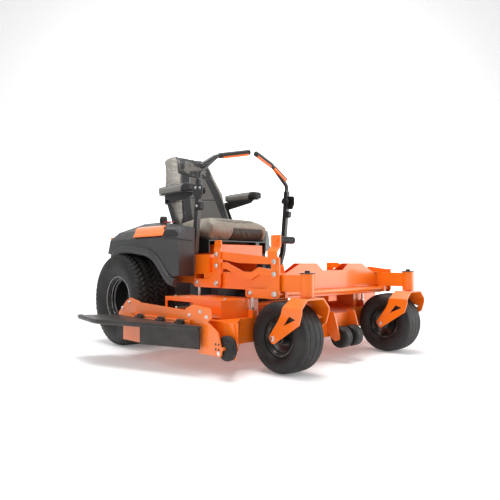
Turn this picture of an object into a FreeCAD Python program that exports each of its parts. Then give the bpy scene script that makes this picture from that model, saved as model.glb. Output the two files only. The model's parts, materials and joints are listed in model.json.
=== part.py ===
"""Zero turn mower: a parametric document of its frame, wheels, controls, seat and deck.

The machine frame has X forward from the rear axle, Y to the left and Z up from the ground.
Every size is in millimetres.  The finished pieces are shifted by the datum, so that the origin
is at the middle of the footprint.
"""
import FreeCAD, Part

import math
import operator
import os

doc = FreeCAD.newDocument("ZeroTurnMower")
sheet = doc.addObject("Spreadsheet::Sheet", "Sizes")
vector = FreeCAD.Vector

NODES = []
ALIASES = []
HOMES = {}
OPERATIONS = {"+": operator.add, "-": operator.sub, "*": operator.mul, "/": operator.truediv}
AXIS_TURN = {
    "x": FreeCAD.Rotation(vector(0, 1, 0), 90),
    "y": FreeCAD.Rotation(vector(1, 0, 0), -90),
    "z": FreeCAD.Rotation(),
}


# ---------------------------------------------------------------- sizes

class Size:
    """A number together with the sheet expression that gives it."""

    def __init__(self, value, text):
        self.value = value
        self.text = text

    def __add__(self, other):
        return combine(self, "+", other)

    def __radd__(self, other):
        return combine(other, "+", self)

    def __sub__(self, other):
        return combine(self, "-", other)

    def __rsub__(self, other):
        return combine(other, "-", self)

    def __mul__(self, other):
        return combine(self, "*", other)

    def __rmul__(self, other):
        return combine(other, "*", self)

    def __truediv__(self, other):
        return combine(self, "/", other)

    def __neg__(self):
        return combine(0, "-", self)


def as_size(value):
    """Wrap a plain number as a size."""
    if isinstance(value, Size):
        return value
    return Size(float(value), f"({float(value):g})")


def combine(left, sign, right):
    """Join two sizes into one, with its value and its expression."""
    left, right = as_size(left), as_size(right)
    value = OPERATIONS[sign](left.value, right.value)
    return Size(value, f"({left.text} {sign} {right.text})")


def size(alias, value):
    """Write one driving size into the sheet and return it."""
    ALIASES.append(alias)
    row = len(ALIASES)
    sheet.set(f"A{row}", alias)
    sheet.set(f"B{row}", str(value))
    sheet.setAlias(f"B{row}", alias)
    return Size(float(value), f"Sizes.{alias}")


def bind(item, prop, value):
    """Bind a property to a size's expression."""
    item.setExpression(prop, as_size(value).text)


# ---------------------------------------------------------------- building blocks

def put(item, at):
    """Put a component at a place in the machine frame."""
    for name, value in zip("xyz", at):
        bind(item, f"Placement.Base.{name}", value)
    HOMES[item.Name] = [as_size(value).text for value in at]
    return item


def ordered(low, high):
    """Two values, the lower one first."""
    return sorted((as_size(low), as_size(high)), key=lambda item: item.value)


def beam(axis, x, y, z, wall):
    """A hollow rectangular beam, open at both ends along its axis."""
    inner = [(low, high) if name == axis else (low + wall, high - wall)
             for name, (low, high) in zip("xyz", (x, y, z))]
    return cut(box(x, y, z), box(*inner))


def box(x, y, z):
    """A block between two values along each axis."""
    block = doc.addObject("Part::Box", "Block")
    for prop, (low, high) in zip(("Length", "Width", "Height"), (x, y, z)):
        bind(block, prop, high - as_size(low))
    return put(block, (x[0], y[0], z[0]))


def rod(axis, at, radius, low, high):
    """A cylinder along an axis, between two values on it, through the point at."""
    cylinder = doc.addObject("Part::Cylinder", "Rod")
    bind(cylinder, "Radius", radius)
    bind(cylinder, "Height", high - as_size(low))
    cylinder.Placement.Rotation = AXIS_TURN[axis]
    start = list(at)
    start["xyz".index(axis)] = low
    return put(cylinder, start)


def cut(base, *tools):
    """The base with the tools taken away."""
    result = doc.addObject("Part::Cut", "Cut")
    result.Base = base
    result.Tool = tools[0] if len(tools) == 1 else fuse(*tools)
    return result


def fuse(*items):
    """One solid from pieces that meet or overlap."""
    result = doc.addObject("Part::MultiFuse", "Fuse")
    result.Shapes = list(items)
    result.Refine = True
    return result


def common(*items):
    """What every item shares."""
    result = doc.addObject("Part::MultiCommon", "Common")
    result.Shapes = list(items)
    return result


def group(*items):
    """Several solids that stay apart."""
    result = doc.addObject("Part::Compound", "Group")
    result.Links = list(items)
    return result


def tube(axis, at, outer, inner, low, high):
    """A round tube along an axis."""
    return cut(rod(axis, at, outer, low, high), rod(axis, at, inner, low, high))


def both_sides(item):
    """The item and its mirror image across the middle of the machine."""
    return group(item, mirror(item, 0))


def mirror(item, across):
    """The mirror image of an item across the plane Y = across."""
    copy = doc.addObject("Part::Mirroring", "Mirror")
    copy.Source = item
    copy.Normal = vector(0, 1, 0)
    bind(copy, "Base.y", across)
    return copy


def sketch_on(body, plane, points):
    """A closed outline on one of the body's origin planes, each corner bound to its sizes."""
    sketch = body.newObject("Sketcher::SketchObject", "Outline")
    role = f"{plane}_Plane"
    base = next(item for item in body.Origin.OriginFeatures if item.Role == role)
    sketch.AttachmentSupport = [(base, "")]
    sketch.MapMode = "FlatFace"
    corners = [(as_size(across), as_size(up)) for across, up in points]
    places = [vector(across.value, up.value, 0) for across, up in corners]
    count = len(places)
    for index, start in enumerate(places):
        sketch.addGeometry(Part.LineSegment(start, places[(index + 1) % count]), False)
    for index in range(count):
        sketch.addConstraint(Sketcher.Constraint("Coincident", index, 2, (index + 1) % count, 1))
    for index, corner in enumerate(corners):
        for kind, value in zip(("DistanceX", "DistanceY"), corner):
            number = sketch.addConstraint(
                Sketcher.Constraint(kind, -1, 1, index, 1, value.value))
            bind(sketch, f"Constraints[{number}]", value)
    return sketch


def plate(plane, points, low, high, rounded=None):
    """An outline on a plane, made solid from low to high along that plane's normal.

    rounded gives the corner radius of the outline's points by their index.
    """
    body = doc.addObject("PartDesign::Body", "Piece")
    sketch = sketch_on(body, plane, points)
    offset = -as_size(high) if plane == "XZ" else low
    bind(sketch, "AttachmentOffset.Base.z", offset)
    pad = body.newObject("PartDesign::Pad", "Pad")
    pad.Profile = sketch
    bind(pad, "Length", high - as_size(low))
    if rounded:
        doc.recompute()
        for index, radius in rounded.items():
            round_edge(body, plane, points[index], radius)
    return body


def round_edge(body, plane, point, radius):
    """Round the edge that stands on one point of the body's outline."""
    across, up = (as_size(value).value for value in point)
    keep = {"XY": (0, 1), "XZ": (0, 2), "YZ": (1, 2)}[plane]
    base = body.Tip
    for number, edge in enumerate(base.Shape.Edges):
        ends = [vertex.Point for vertex in edge.Vertexes]
        if all(math.hypot(end[keep[0]] - across, end[keep[1]] - up) < 0.01 for end in ends):
            fillet = body.newObject("PartDesign::Fillet", "Round")
            fillet.Base = (base, [f"Edge{number + 1}"])
            bind(fillet, "Radius", radius)
            doc.recompute()
            return
    raise ValueError(f"no edge at {across:.2f}, {up:.2f}")


def turned(axis, profile, at):
    """A profile of (along, radius) points turned about an axis through the point at."""
    body = doc.addObject("PartDesign::Body", "Turning")
    upright = axis == "z"
    points = [(radius, along) if upright else (along, radius) for along, radius in profile]
    sketch = sketch_on(body, "YZ" if axis == "y" else "XZ", points)
    turning = body.newObject("PartDesign::Revolution", "Turned")
    turning.Profile = sketch
    turning.ReferenceAxis = (sketch, ["V_Axis" if upright else "H_Axis"])
    turning.Angle = 360
    return put(body, at)


def bent_rod(points, radius, bend):
    """A round rod along straight runs joined by arcs of one bend radius."""
    places = [vector(*(as_size(value).value for value in point)) for point in points]
    edges = []
    start = places[0]
    for before, corner, after in zip(places, places[1:], places[2:]):
        back = (before - corner).normalize()
        ahead = (after - corner).normalize()
        half = back.getAngle(ahead) / 2
        reach = bend.value / math.tan(half)
        middle = corner + (back + ahead).normalize() * (bend.value / math.sin(half) - bend.value)
        edges.append(Part.LineSegment(start, corner + back * reach).toShape())
        arc = Part.Arc(corner + back * reach, middle, corner + ahead * reach)
        edges.append(arc.toShape())
        start = corner + ahead * reach
    edges.append(Part.LineSegment(start, places[-1]).toShape())
    path = Part.Wire(edges)
    ring = Part.Wire(Part.makeCircle(radius.value, places[0], places[1] - places[0]))
    item = doc.addObject("Part::Feature", "BentRod")
    item.Shape = path.makePipeShell([ring], True, True)
    return item


def place(item, label):
    """Finish a node: its file name, and its place in the frame of the finished part."""
    item.Label = label
    home = HOMES.get(item.Name, ["0", "0", "0"])
    shift = (datum_x.text, datum_y.text, "0")
    for name, start, move in zip("xyz", home, shift):
        item.setExpression(f"Placement.Base.{name}", f"{start} + {move}")
    NODES.append(item)
    return item


def place_pair(item, name):
    """Finish a right-hand node and its mirrored left-hand twin."""
    twin = mirror(item, datum_y)
    place(item, f"{name}_right")
    twin.Label = f"{name}_left"
    NODES.append(twin)


# ---------------------------------------------------------------- driving sizes

# rear wheels, about the rear axle
rear_radius = size("rear_tyre_radius", 279.4)
rear_width = size("rear_tyre_width", 280)
rear_track = size("rear_half_track", 502)
rim_seat = size("rim_seat_radius", 127)
axle_radius = size("rear_axle_radius", 20)
fit = size("running_fit", 0.05)

# casters
pivot_x = size("caster_pivot_x", 1337)
pivot_y = size("caster_half_track", 432)
trail = size("caster_trail", 119)
caster_radius = size("caster_tyre_radius", 165.1)
caster_width = size("caster_tyre_width", 165)
caster_seat = size("caster_seat_radius", 76)
spindle_radius = size("caster_spindle_radius", 12.7)
housing_radius = size("caster_housing_radius", 31)
axle_bolt = size("caster_axle_radius", 6.35)
fork_sheet = size("fork_sheet", 8)
fork_gap = size("fork_inner_half_gap", 89)

# frame
rail_low = size("rail_bottom", 370)
rail_high = size("rail_top", 446)
rail_wide = size("rail_width", 50)
rail_wall = size("rail_wall", 4)
rail_rear = size("front_rail_rear", 640)
pan_sheet = size("pan_sheet", 4)
front_x = size("front_plate_x", 1150)
inner_rail_y = size("rear_rail_half_gap", 245)
inner_rail_rear = size("rear_rail_rear", -430)
guard_rear = size("guard_rear", -687)

# lift linkage
lift_y = size("lift_plate_y", 466)
lift_sheet = size("lift_sheet", 8)
front_lift_x = size("front_lift_x", 1180)
front_lift_z = size("front_lift_z", 356)
rear_lift_x = size("rear_lift_x", 767)
rear_lift_z = size("rear_lift_z", 394)
lift_reach = size("lift_hanger_reach", 165)
lift_rise = size("lift_link_rise", 92)
lift_shaft = size("lift_shaft_radius", 12)
lift_pin = size("lift_pin_radius", 6)
slot_gap = size("hanger_slot_clearance", 4)
slot_travel = size("hanger_slot_travel", 14)

# deck
deck_top = size("deck_top", 240)
deck_low = size("deck_bottom", 125)
deck_wall = size("deck_wall", 5)
deck_rear = size("deck_rear", 330)
deck_front = size("deck_front", 1180)
deck_side = size("deck_half_width", 745)
notch_y = size("anti_scalp_wall_y", 700)
notch_x = size("anti_scalp_notch_x", 985)
scalp_x = size("anti_scalp_wheel_x", 1137)
side_spindle_x = size("side_spindle_x", 690)
side_spindle_y = size("side_spindle_y", 480)
centre_spindle_x = size("centre_spindle_x", 890)
blade_length = size("blade_length", 510)
spindle_shaft = size("deck_spindle_radius", 12.5)
chute_reach = size("chute_reach", 240)
roller_x = deck_front + 54.5

# seat and controls
seat_half = size("seat_half_width", 243)
seat_rear = size("seat_rear", 95)
seat_front = size("seat_front", 440)
back_top = size("seat_back_top", 1256)
back_lean = size("seat_back_lean", 195)
back_deep = size("seat_back_depth", 105)
seat_low = size("seat_bottom", 640)
seat_high = size("seat_top", 766)
base_top = size("seat_base_top", 615)
lever_y = size("lever_y", 371)
lever_pin = size("lever_pin_radius", 10)
bar_radius = size("lap_bar_radius", 12.7)
grip_radius = size("lap_grip_radius", 17)

# fenders
fender_outer = size("fender_outer_y", 600)
fender_inner = size("fender_inner_y", 301)
fender_wall = size("fender_wall", 6)
arch_radius = size("fender_arch_rise", 306)

datum_x = (0 - (pivot_x - trail + caster_radius + guard_rear)) / 2
datum_y = (chute_reach - 10) / 2


# ---------------------------------------------------------------- wheels

def carcass(half, radius, seat, wall, shoulder):
    """A hollow tyre's section: the tread and side wall outside, the same less the wall inside."""
    bead = seat + shoulder / 2
    outer = [(half - 30, seat), (half - 30, bead), (half, seat + shoulder), (half, radius - shoulder),
             (half - shoulder / 3, radius - shoulder / 4), (half - shoulder, radius)]
    inner = [(half - shoulder, radius - wall), (half - wall, radius - shoulder),
             (half - wall, seat + shoulder), (half - 30 - wall, bead), (half - 30 - wall, seat)]
    right = outer + inner
    left = [(0 - along, reach) for along, reach in right]
    outer_count = len(outer)
    return (left[:outer_count] + right[:outer_count][::-1]
            + right[outer_count:][::-1] + left[outer_count:])


def rear_wheels():
    """Tyre, deep dish rim and driven axle on each side."""
    centre = (0, -rear_track, rear_radius)
    half = rear_width / 2
    tyre = turned("y", carcass(half, rear_radius, rim_seat, 14, as_size(40)), centre)
    place_pair(tyre, "rear_tyre")

    bead = half - 30
    flange = rim_seat + 14
    inside = rim_seat - 4
    disc = half - 44
    rim = turned("y", [
        (-bead - 4, flange), (-bead, flange), (-bead, rim_seat), (bead, rim_seat), (bead, flange),
        (bead + 4, flange), (bead + 4, inside), (disc + 4, inside), (disc + 4, axle_radius + 12),
        (disc, axle_radius + 12), (disc, inside), (-bead - 4, inside)], centre)
    face = disc - rear_track
    studs = [rod("y", (80 * math.cos(turn), 0, rear_radius + 80 * math.sin(turn)), 9,
                 face - 20, face + 20)
             for turn in (math.tau * step / 5 for step in range(5))]
    place_pair(cut(rim, *studs), "rear_rim")

    hub_face = face + 4
    hub = turned("y", [
        (-30, 0), (-30, axle_radius + 10), (0, axle_radius + 12), (0, 100), (12, 100),
        (12, axle_radius), (90, axle_radius), (90, 0)], (0, hub_face, rear_radius))
    place_pair(hub, "rear_axle")


def casters():
    """Housing, fork with its spindle and axle bolt, hub and tyre on each side."""
    axle_x = pivot_x - trail
    pivot = (pivot_x, -pivot_y)
    low = rail_high + 6
    housings = tube("z", (*pivot, 0), housing_radius, spindle_radius + fit, rail_low - 22, low)
    place(both_sides(housings), "caster_housings")
    cap = fuse(rod("z", (*pivot, 0), housing_radius + 5, low, low + 4),
               rod("z", (*pivot, 0), 12, low + 4, low + 14))
    place(both_sides(cap), "caster_caps")

    outer = fork_gap + fork_sheet
    top = rail_low - 24
    under = top - fork_sheet
    bevel = as_size(41)
    inner_bevel = bevel - fork_sheet * 0.586
    bottom = as_size(100)
    arch = [(-outer, bottom), (-outer, top - bevel), (bevel - outer, top), (outer - bevel, top),
            (outer, top - bevel), (outer, bottom), (fork_gap, bottom),
            (fork_gap, under - inner_bevel), (fork_gap - inner_bevel, under),
            (inner_bevel - fork_gap, under), (-fork_gap, under - inner_bevel), (-fork_gap, bottom)]
    arch = [(across - pivot_y, up) for across, up in arch]
    bent = plate("YZ", arch, axle_x - 60, pivot_x + 60)
    side = [(axle_x - 2, caster_radius - 30), (axle_x - 27, caster_radius + 3), (axle_x + 34, 249),
            (axle_x + 48, 275), (axle_x + 71, top), (pivot_x + 47, top), (pivot_x + 47, 282),
            (pivot_x + 31, 233)]
    limit = -pivot_y - outer - 1, outer + 1 - pivot_y
    profile = plate("XZ", side, *limit, rounded={0: 16, 1: 16})
    window = plate("XZ", [(axle_x + 95, 269), (axle_x + 132, 257), (axle_x + 61, 225)], *limit)
    axle = (axle_x, 0, caster_radius)
    fork = fuse(cut(common(bent, profile), window),
                rod("z", (*pivot, 0), spindle_radius, top, low - 2),
                rod("y", axle, axle_bolt, -pivot_y - outer, outer - pivot_y),
                rod("y", axle, 11, -pivot_y - outer - 7, -pivot_y - outer),
                rod("y", axle, 11, outer - pivot_y, outer - pivot_y + 7))
    place_pair(fork, "caster_fork")

    centre = (axle_x, -pivot_y, caster_radius)
    half = caster_width / 2
    tyre = turned("y", carcass(half, caster_radius, caster_seat, 12, as_size(28)), centre)
    place_pair(tyre, "caster_tyre")
    bead = half - 30
    flange = caster_seat + 10
    hub = turned("y", [
        (-bead - 4, flange), (-bead, flange), (-bead, caster_seat), (bead, caster_seat),
        (bead, flange), (bead + 4, flange), (bead + 4, caster_seat - 5), (5, caster_seat - 5),
        (5, 24), (fork_gap - 2, 20), (fork_gap - 2, axle_bolt + fit), (2 - fork_gap, axle_bolt + fit),
        (2 - fork_gap, 20), (-5, 24), (-5, caster_seat - 5), (-bead - 4, caster_seat - 5)], centre)
    place_pair(hub, "caster_hub")


# ---------------------------------------------------------------- frame

def front_rails():
    """Two hollow rails that end on the caster housings, with lugs for the front lift shaft."""
    inside, outside = pivot_y - rail_wide / 2, pivot_y + rail_wide / 2
    shell = box((rail_rear, pivot_x), (-outside, -inside), (rail_low, rail_high))
    hollow = box((rail_rear, pivot_x), (rail_wall - outside, -inside - rail_wall),
                 (rail_low + rail_wall, rail_high - rail_wall))
    lug = box((front_lift_x - 20, front_lift_x + 20), (-inside - 20, -inside),
              (front_lift_z - 20, rail_low))
    rail = cut(fuse(cut(shell, hollow), lug),
               rod("z", (pivot_x, -pivot_y, 0), housing_radius, rail_low - 1, rail_high + 1),
               rod("y", (front_lift_x, 0, front_lift_z), lift_shaft + fit, -outside - 1, 1 - inside),
               rod("y", (rear_lift_x, 0, rear_lift_z), lift_shaft + fit, -outside - 1, 1 - inside))
    place(both_sides(rail), "front_rails")


def engine_frame():
    """The rear rails, the jog beam, the engine plate, the lever towers and the side towers."""
    outside = pivot_y + rail_wide / 2
    inside = outside - rail_wide
    low, high = rail_low + 10, rail_high - 6
    pieces = [
        beam("y", (rail_rear - 80, rail_rear), (-outside, outside), (rail_low, rail_high), rail_wall),
        box((inner_rail_rear, -100), (-inner_rail_y, inner_rail_y), (high - 6, high)),
        beam("y", (370, 440), (-lever_y + 28, lever_y - 28), (low, high), rail_wall),
        beam("y", (-60, 60), (-inner_rail_y - 1, inner_rail_y + 1), (high - 40, high), rail_wall),
    ]
    for side in (-1, 1):
        y = ordered(side * inner_rail_y, side * (inner_rail_y + 50))
        pieces.append(beam("x", (inner_rail_rear, rail_rear - 80), y, (low, high), rail_wall))
        y = ordered(side * (lever_y - 28), side * (lever_y - 36))
        pieces.append(plate("XZ", [(370, low), (440, low), (440, high + 40), (422, 520), (388, 520),
                                   (370, high + 40)], *y, rounded={3: 10, 4: 10}))
        y = ordered(side * outside, side * inside)
        tower_rise = 100 if side < 0 else 45
        pieces.append(beam("z", (rail_rear - 80, rail_rear + 40), y,
                           (rail_high, rail_high + tower_rise), rail_wall))
        y = ordered(side * (lever_y - 36), side * (lever_y + 18))
        pieces.append(rod("y", (405, 0, 497), lever_pin, *y))
    post = plate("XZ", [(rail_rear + 40, rail_high), (rail_rear + 120, rail_high),
                        (rail_rear + 112, 620), (rail_rear + 60, 620), (rail_rear + 60, 530),
                        (rail_rear + 40, 530)],
                 -pivot_y - 4, 4 - pivot_y, rounded={2: 12, 3: 12})
    pieces.append(post)
    shaft_hole = rod("z", (-330, 0, 0), 16, low - 1, high + 1)
    place(cut(fuse(*pieces), shaft_hole), "engine_frame")


def floor_pan():
    """Floor sheet, notched front plate with its foot ramps, cross tube and side gussets."""
    outside = pivot_y + rail_wide / 2
    inside = outside - rail_wide
    crest = as_size(499)
    pan = cut(box((rail_rear + 45, front_x), (-outside, outside),
                  (rail_high, rail_high + pan_sheet)),
              box((rail_rear + 44, rail_rear + 121), (-pivot_y - 5, 5 - pivot_y),
                  (rail_high - 1, rail_high + pan_sheet + 1)))
    half = [(inside, rail_low - 6), (inside, 432), (259, crest), (135, crest), (85, 463)]
    outline = [*half, *[(0 - as_size(across), up) for across, up in reversed(half)]]
    front = plate("YZ", outline, front_x - pan_sheet, front_x)
    tube_low = rail_low - 40
    cross = box((front_x - 40, front_x), (-outside, outside), (tube_low, rail_low))
    post = box((front_x - 35, front_x - 5), (-35, 35), (tube_low - 30, tube_low))
    pieces = [pan, front, cross, post]
    ramp = [(front_x - 120, rail_high + pan_sheet), (front_x - 45, crest - 4), (front_x, crest - 4),
            (front_x, crest), (front_x - 47, crest), (front_x - 126, rail_high + pan_sheet)]
    for low, high in ((-259, -135), (135, 259)):
        pieces.append(plate("XZ", ramp, low, high))
    gusset = [(front_x - 200, rail_high + pan_sheet), (front_x - 40, rail_high + pan_sheet),
              (front_x - 50, crest - 4)]
    for low, high in ((-334, -330), (330, 334)):
        pieces.append(plate("XZ", gusset, low, high))
    place(fuse(*pieces), "floor_pan")


def rear_guard():
    """Side plates on the rear rails and the loop that goes round behind the engine."""
    y = inner_rail_y + 50
    side = [(-60, 400), (-60, 608), (-300, 608), (-330, 690), (guard_rear, 690),
            (guard_rear, 640), (-400, 640), (inner_rail_rear, 400)]
    pieces = [plate("XZ", side, y, y + 6), plate("XZ", side, -y - 6, -y),
              box((guard_rear, guard_rear + 30), (-y, y), (640, 690))]
    place(fuse(*pieces), "rear_guard")


def seat_base():
    """The pedestal under the seat: a folded box with flanges on the rear rails."""
    low = rail_high - 6
    wide = seat_half - 43
    sheet_wall = as_size(5)
    flange = low + sheet_wall
    outer = [(-inner_rail_y - 50, low), (inner_rail_y + 50, low), (inner_rail_y + 50, flange),
             (wide, flange), (wide, base_top), (-wide, base_top), (-wide, flange),
             (-inner_rail_y - 50, flange)]
    shell = plate("YZ", outer, 110, 365)
    front = plate("YZ", [(-wide, 520), (wide, 520), (wide, base_top), (-wide, base_top)],
                  365, 420)
    hollow = box((110 + sheet_wall, 412), (sheet_wall - wide, wide - sheet_wall),
                 (low, base_top - sheet_wall))
    place(cut(fuse(shell, front), hollow), "seat_base")


def fenders():
    """A hollow moulded fender over each rear wheel; the right one has a deep front box and
    the left one ends in a slanted front beside the seat."""
    def shape(inset, drop, plan):
        side = [(-160 + inset, 560 - drop), (-124 + inset, 655 - inset), (-47 + inset, 760 - inset),
                (60, 760 - inset), (400, 705 - inset), (590 - inset, 690 - inset),
                (604 - inset, 520 - drop), (604 - inset, 434 - drop), (535, 425 - drop)]
        section = [(-fender_inner - inset, 420 - drop), (-fender_inner - inset, 760 - inset),
                   (-400, 752 - inset), (-555, 690 - inset), (inset - fender_outer, 640 - inset),
                   (inset - fender_outer, 420 - drop)]
        return common(plate("XZ", side, -fender_outer, -fender_inner),
                      plate("YZ", section, -170, 612), plate("XY", plan, 380, 770))

    def long_plan(inset):
        return [(-170, -fender_inner - inset), (350 - inset, -fender_inner - inset),
                (350 - inset, -400 - inset), (482 - inset, -400 - inset),
                (560 - inset, -470 - inset), (612 - inset, inset - fender_outer),
                (-170, inset - fender_outer)]

    def short_plan(inset):
        return [(-170, -fender_inner - inset), (320 - inset, -fender_inner - inset),
                (320 - inset, inset - fender_inner - 34), (96 - inset, inset - fender_outer),
                (-170, inset - fender_outer)]

    arch_top = rear_radius + arch_radius
    arch = plate("XZ", [(-171, 300), (535, 300), (535, 430), (493, arch_top - 127),
                        (426, arch_top - 65), (333, arch_top - 10), (210, arch_top + 5),
                        (12, arch_top + 14), (-101, arch_top - 33), (-171, arch_top - 60)],
                 -fender_outer - 1, -fender_inner - 30, rounded={3: 60, 4: 60, 5: 60})

    def skin(plan):
        return cut(shape(as_size(0), as_size(0), plan(as_size(0))),
                   shape(fender_wall, as_size(40), plan(fender_wall)), arch)

    neck_top = as_size(744)
    neck = rod("z", (208, -430, 0), 20, 722, neck_top)
    place(fuse(skin(long_plan), neck), "fender_right")
    plug = rod("z", (120, 400, 0), 20, 722, 760)
    place(fuse(mirror(skin(short_plan), 0), plug), "fender_left")
    low = neck_top + 0.3
    cap = turned("z", [(low, 0), (low, 24), (low + 30, 24), (low + 36, 18), (low + 36, 0)],
                 (208, -430, 0))
    place(cap, "fuel_cap")


# ---------------------------------------------------------------- engine and drive

def engine():
    """Crankcase with two cylinders, cooling shroud, air cleaner, muffler and drive pulley."""
    floor = rail_high - 6
    block = fuse(box((-520, -170), (-150, 150), (floor, 600)),
                 box((-440, -230), (-240, 240), (470, 580)))
    shaft = rod("z", (-330, 0, 0), 12.7, 270, floor)
    place(fuse(block, shaft), "engine_block")
    shroud = fuse(turned("z", [(600, 0), (600, 185), (680, 185), (700, 150), (700, 0)],
                         (-345, 0, 0)),
                  box((-520, -180), (-235, 235), (600, 640)))
    place(shroud, "engine_shroud")
    cleaner = fuse(rod("y", (-345, 0, 750), 45, -120, 120),
                   box((-375, -315), (-80, 80), (700, 720)))
    place(cleaner, "air_filter")
    silencer = fuse(rod("y", (-590, 0, 540), 60, -210, 210),
                    box((-590, -520), (60, 100), (520, 560)))
    place(silencer, "muffler")
    pulley = turned("z", [(290, 12.75), (290, 60), (300, 50), (310, 60), (310, 12.75)],
                    (-330, 0, 0))
    place(pulley, "engine_pulley")


def hydro_units():
    """A pump and wheel motor on each side, hung from the rear rails."""
    end = rear_track - rear_width / 2 + 26
    motor = fuse(box((-60, 60), (-inner_rail_y - 50, -120), (rear_radius - 60, rail_low + 10)),
                 rod("y", (0, 0, rear_radius), 48, -end, -inner_rail_y))
    bore = rod("y", (0, 0, rear_radius), axle_radius + fit, -end - 1, -inner_rail_y)
    place(both_sides(cut(motor, bore)), "hydro_units")


# ---------------------------------------------------------------- seat

def seat():
    """Sliding frame with arm posts, cushion, back, and the folding arm brackets and pads."""
    post_y = seat_half + 4
    pivot_z = as_size(905)
    skirt = seat_half - 2
    top = plate("YZ", [(-skirt, 562), (4 - skirt, 562), (4 - skirt, seat_low - 6),
                       (skirt - 4, seat_low - 6), (skirt - 4, 562), (skirt, 562),
                       (skirt, seat_low), (-skirt, seat_low)], seat_rear + 10, seat_front - 30)
    pieces = [top]
    for side in (-1, 1):
        y = ordered(side * (seat_half - 93), side * (seat_half - 63))
        pieces.append(box((seat_rear + 10, seat_front - 30), y, (base_top + 0.3, seat_low - 6)))
        y = ordered(side * skirt, side * (post_y + 6))
        pieces.append(box((seat_rear + 10, seat_rear + 60), y, (seat_low - 30, seat_low)))
        y = ordered(side * post_y, side * (post_y + 6))
        pieces.append(plate("XZ", [(seat_rear + 10, seat_low), (seat_rear + 60, seat_low),
                                   (20, pivot_z - 10), (20, pivot_z + 18), (-20, pivot_z + 18),
                                   (-20, pivot_z - 10)], *y))
        y = ordered(side * (post_y + 6), side * (post_y + 30))
        pieces.append(rod("y", (0, 0, pivot_z), 8, *y))
    place(fuse(*pieces), "seat_frame")

    cushion = plate("XZ", [(seat_rear, seat_low), (seat_front - 30, seat_low),
                           (seat_front, seat_low + 60), (seat_front, seat_high - 30),
                           (seat_front - 40, seat_high), (seat_rear, seat_high)],
                    -seat_half, seat_half, rounded={3: 25})
    place(cushion, "seat_cushion")
    shoulder = back_top - 31
    top_x = seat_rear - back_lean
    lean = plate("XZ", [(seat_rear, seat_low + 60), (seat_rear, seat_high), (top_x, shoulder),
                        (top_x - 24, back_top), (top_x - back_deep + 19, back_top),
                        (top_x - back_deep, shoulder), (seat_rear - back_deep, seat_high),
                        (seat_rear - back_deep + 10, seat_low + 60)], -seat_half, seat_half,
                 rounded={2: 20, 5: 30})
    wide = seat_half - 3
    narrow = seat_half - 83
    face = plate("YZ", [(-wide, seat_low + 60), (wide, seat_low + 60), (wide, 1000),
                        (narrow, back_top), (-narrow, back_top), (-wide, 1000)],
                 top_x - back_deep - 10, seat_rear + 1,
                 rounded={2: 60, 3: 60, 4: 60, 5: 60})
    place(common(lean, face), "seat_back")

    inner = post_y + 8
    arm = plate("XZ", [(-20, pivot_z - 20), (20, pivot_z - 20), (250, pivot_z + 12),
                       (285, pivot_z + 37), (-30, pivot_z + 37), (-30, pivot_z - 10)],
                -inner - 8, -inner)
    shelf = box((-30, 285), (-inner - 60, -inner), (pivot_z + 33, pivot_z + 37))
    bore = rod("y", (0, 0, pivot_z), 8 + fit, -inner - 9, 1 - inner)
    place_pair(cut(fuse(arm, shelf), bore), "arm_bracket")
    pad = plate("XZ", [(-30, pivot_z + 37), (301, pivot_z + 37), (301, pivot_z + 92),
                       (-30, pivot_z + 92)], -inner - 64, 4 - inner,
                rounded={2: 22, 3: 12})
    place_pair(pad, "arm_pad")


# ---------------------------------------------------------------- steering controls

def controls():
    """A lever each side on the frame's pivot pin, and a lap bar that hinges out at its top."""
    half = as_size(12)
    post = plate("XZ", [(385, 477), (425, 477), (461, 574), (497, 925), (497, 935), (463, 935),
                        (463, 925), (429, 574)], -lever_y - half, half - lever_y,
                 rounded={0: 16, 1: 16})
    cheeks = [box(x, (-lever_y - half, half - lever_y), (935, 980))
              for x in ((463, 471), (489, 497))]
    pin = rod("x", (0, -lever_y, 968), 6, 463, 500)
    spare = rod("x", (0, -lever_y, 948), 5, 497, 500)
    bore = rod("y", (405, 0, 497), lever_pin + fit, -lever_y - half - 1, half + 1 - lever_y)
    place_pair(fuse(cut(post, bore), *cheeks, pin, spare), "control_lever")

    base = (480, -lever_y, 990)
    elbow = (480, -237, 1135)
    tip = (537, -25, 1180)
    lower = bent_rod([base, (480, -lever_y, 1020), elbow, tip], bar_radius, as_size(32))
    tab = cut(box((472, 488), (half * -1 - lever_y, half - lever_y), (950, 992)),
              rod("x", (0, -lever_y, 968), 6 + fit, 471, 489))
    share = 0.3
    start = tuple(as_size(low + (high - low) * share) for low, high in zip(elbow, tip))
    direction = vector(*(high - low for low, high in zip(elbow, tip)))
    outer = Part.makeCylinder(grip_radius.value, direction.Length * (1 - share) + 4,
                              vector(*(value.value for value in start)), direction)
    handle = doc.addObject("Part::Feature", "Grip")
    handle.Shape = outer
    place_pair(cut(handle, lower), "lap_grip")
    place_pair(fuse(lower, tab), "lap_bar")


# ---------------------------------------------------------------- deck lift

def crank(x, z, top):
    """One L-shaped crank plate: hanger arm to the rear, link arm upward, with a slotted end."""
    reach = lift_reach + slot_travel + slot_gap + lift_pin + 10
    outline = [(x - reach, z - 22), (x + 22, z - 22), (x + 26, z), (x + 26, z + top),
               (x - 26, z + top), (x - 26, z + 50), (x - 60, z + 22), (x - reach, z + 22)]
    arm = plate("XZ", outline, -lift_y - lift_sheet, -lift_y, rounded={0: 18, 1: 18, 7: 18})
    half = lift_pin + slot_gap
    slot = box((x - lift_reach - slot_travel - half, x - lift_reach + half),
               (-lift_y - lift_sheet - 1, 1 - lift_y), (z - half, z + half))
    return cut(arm, slot)


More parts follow.
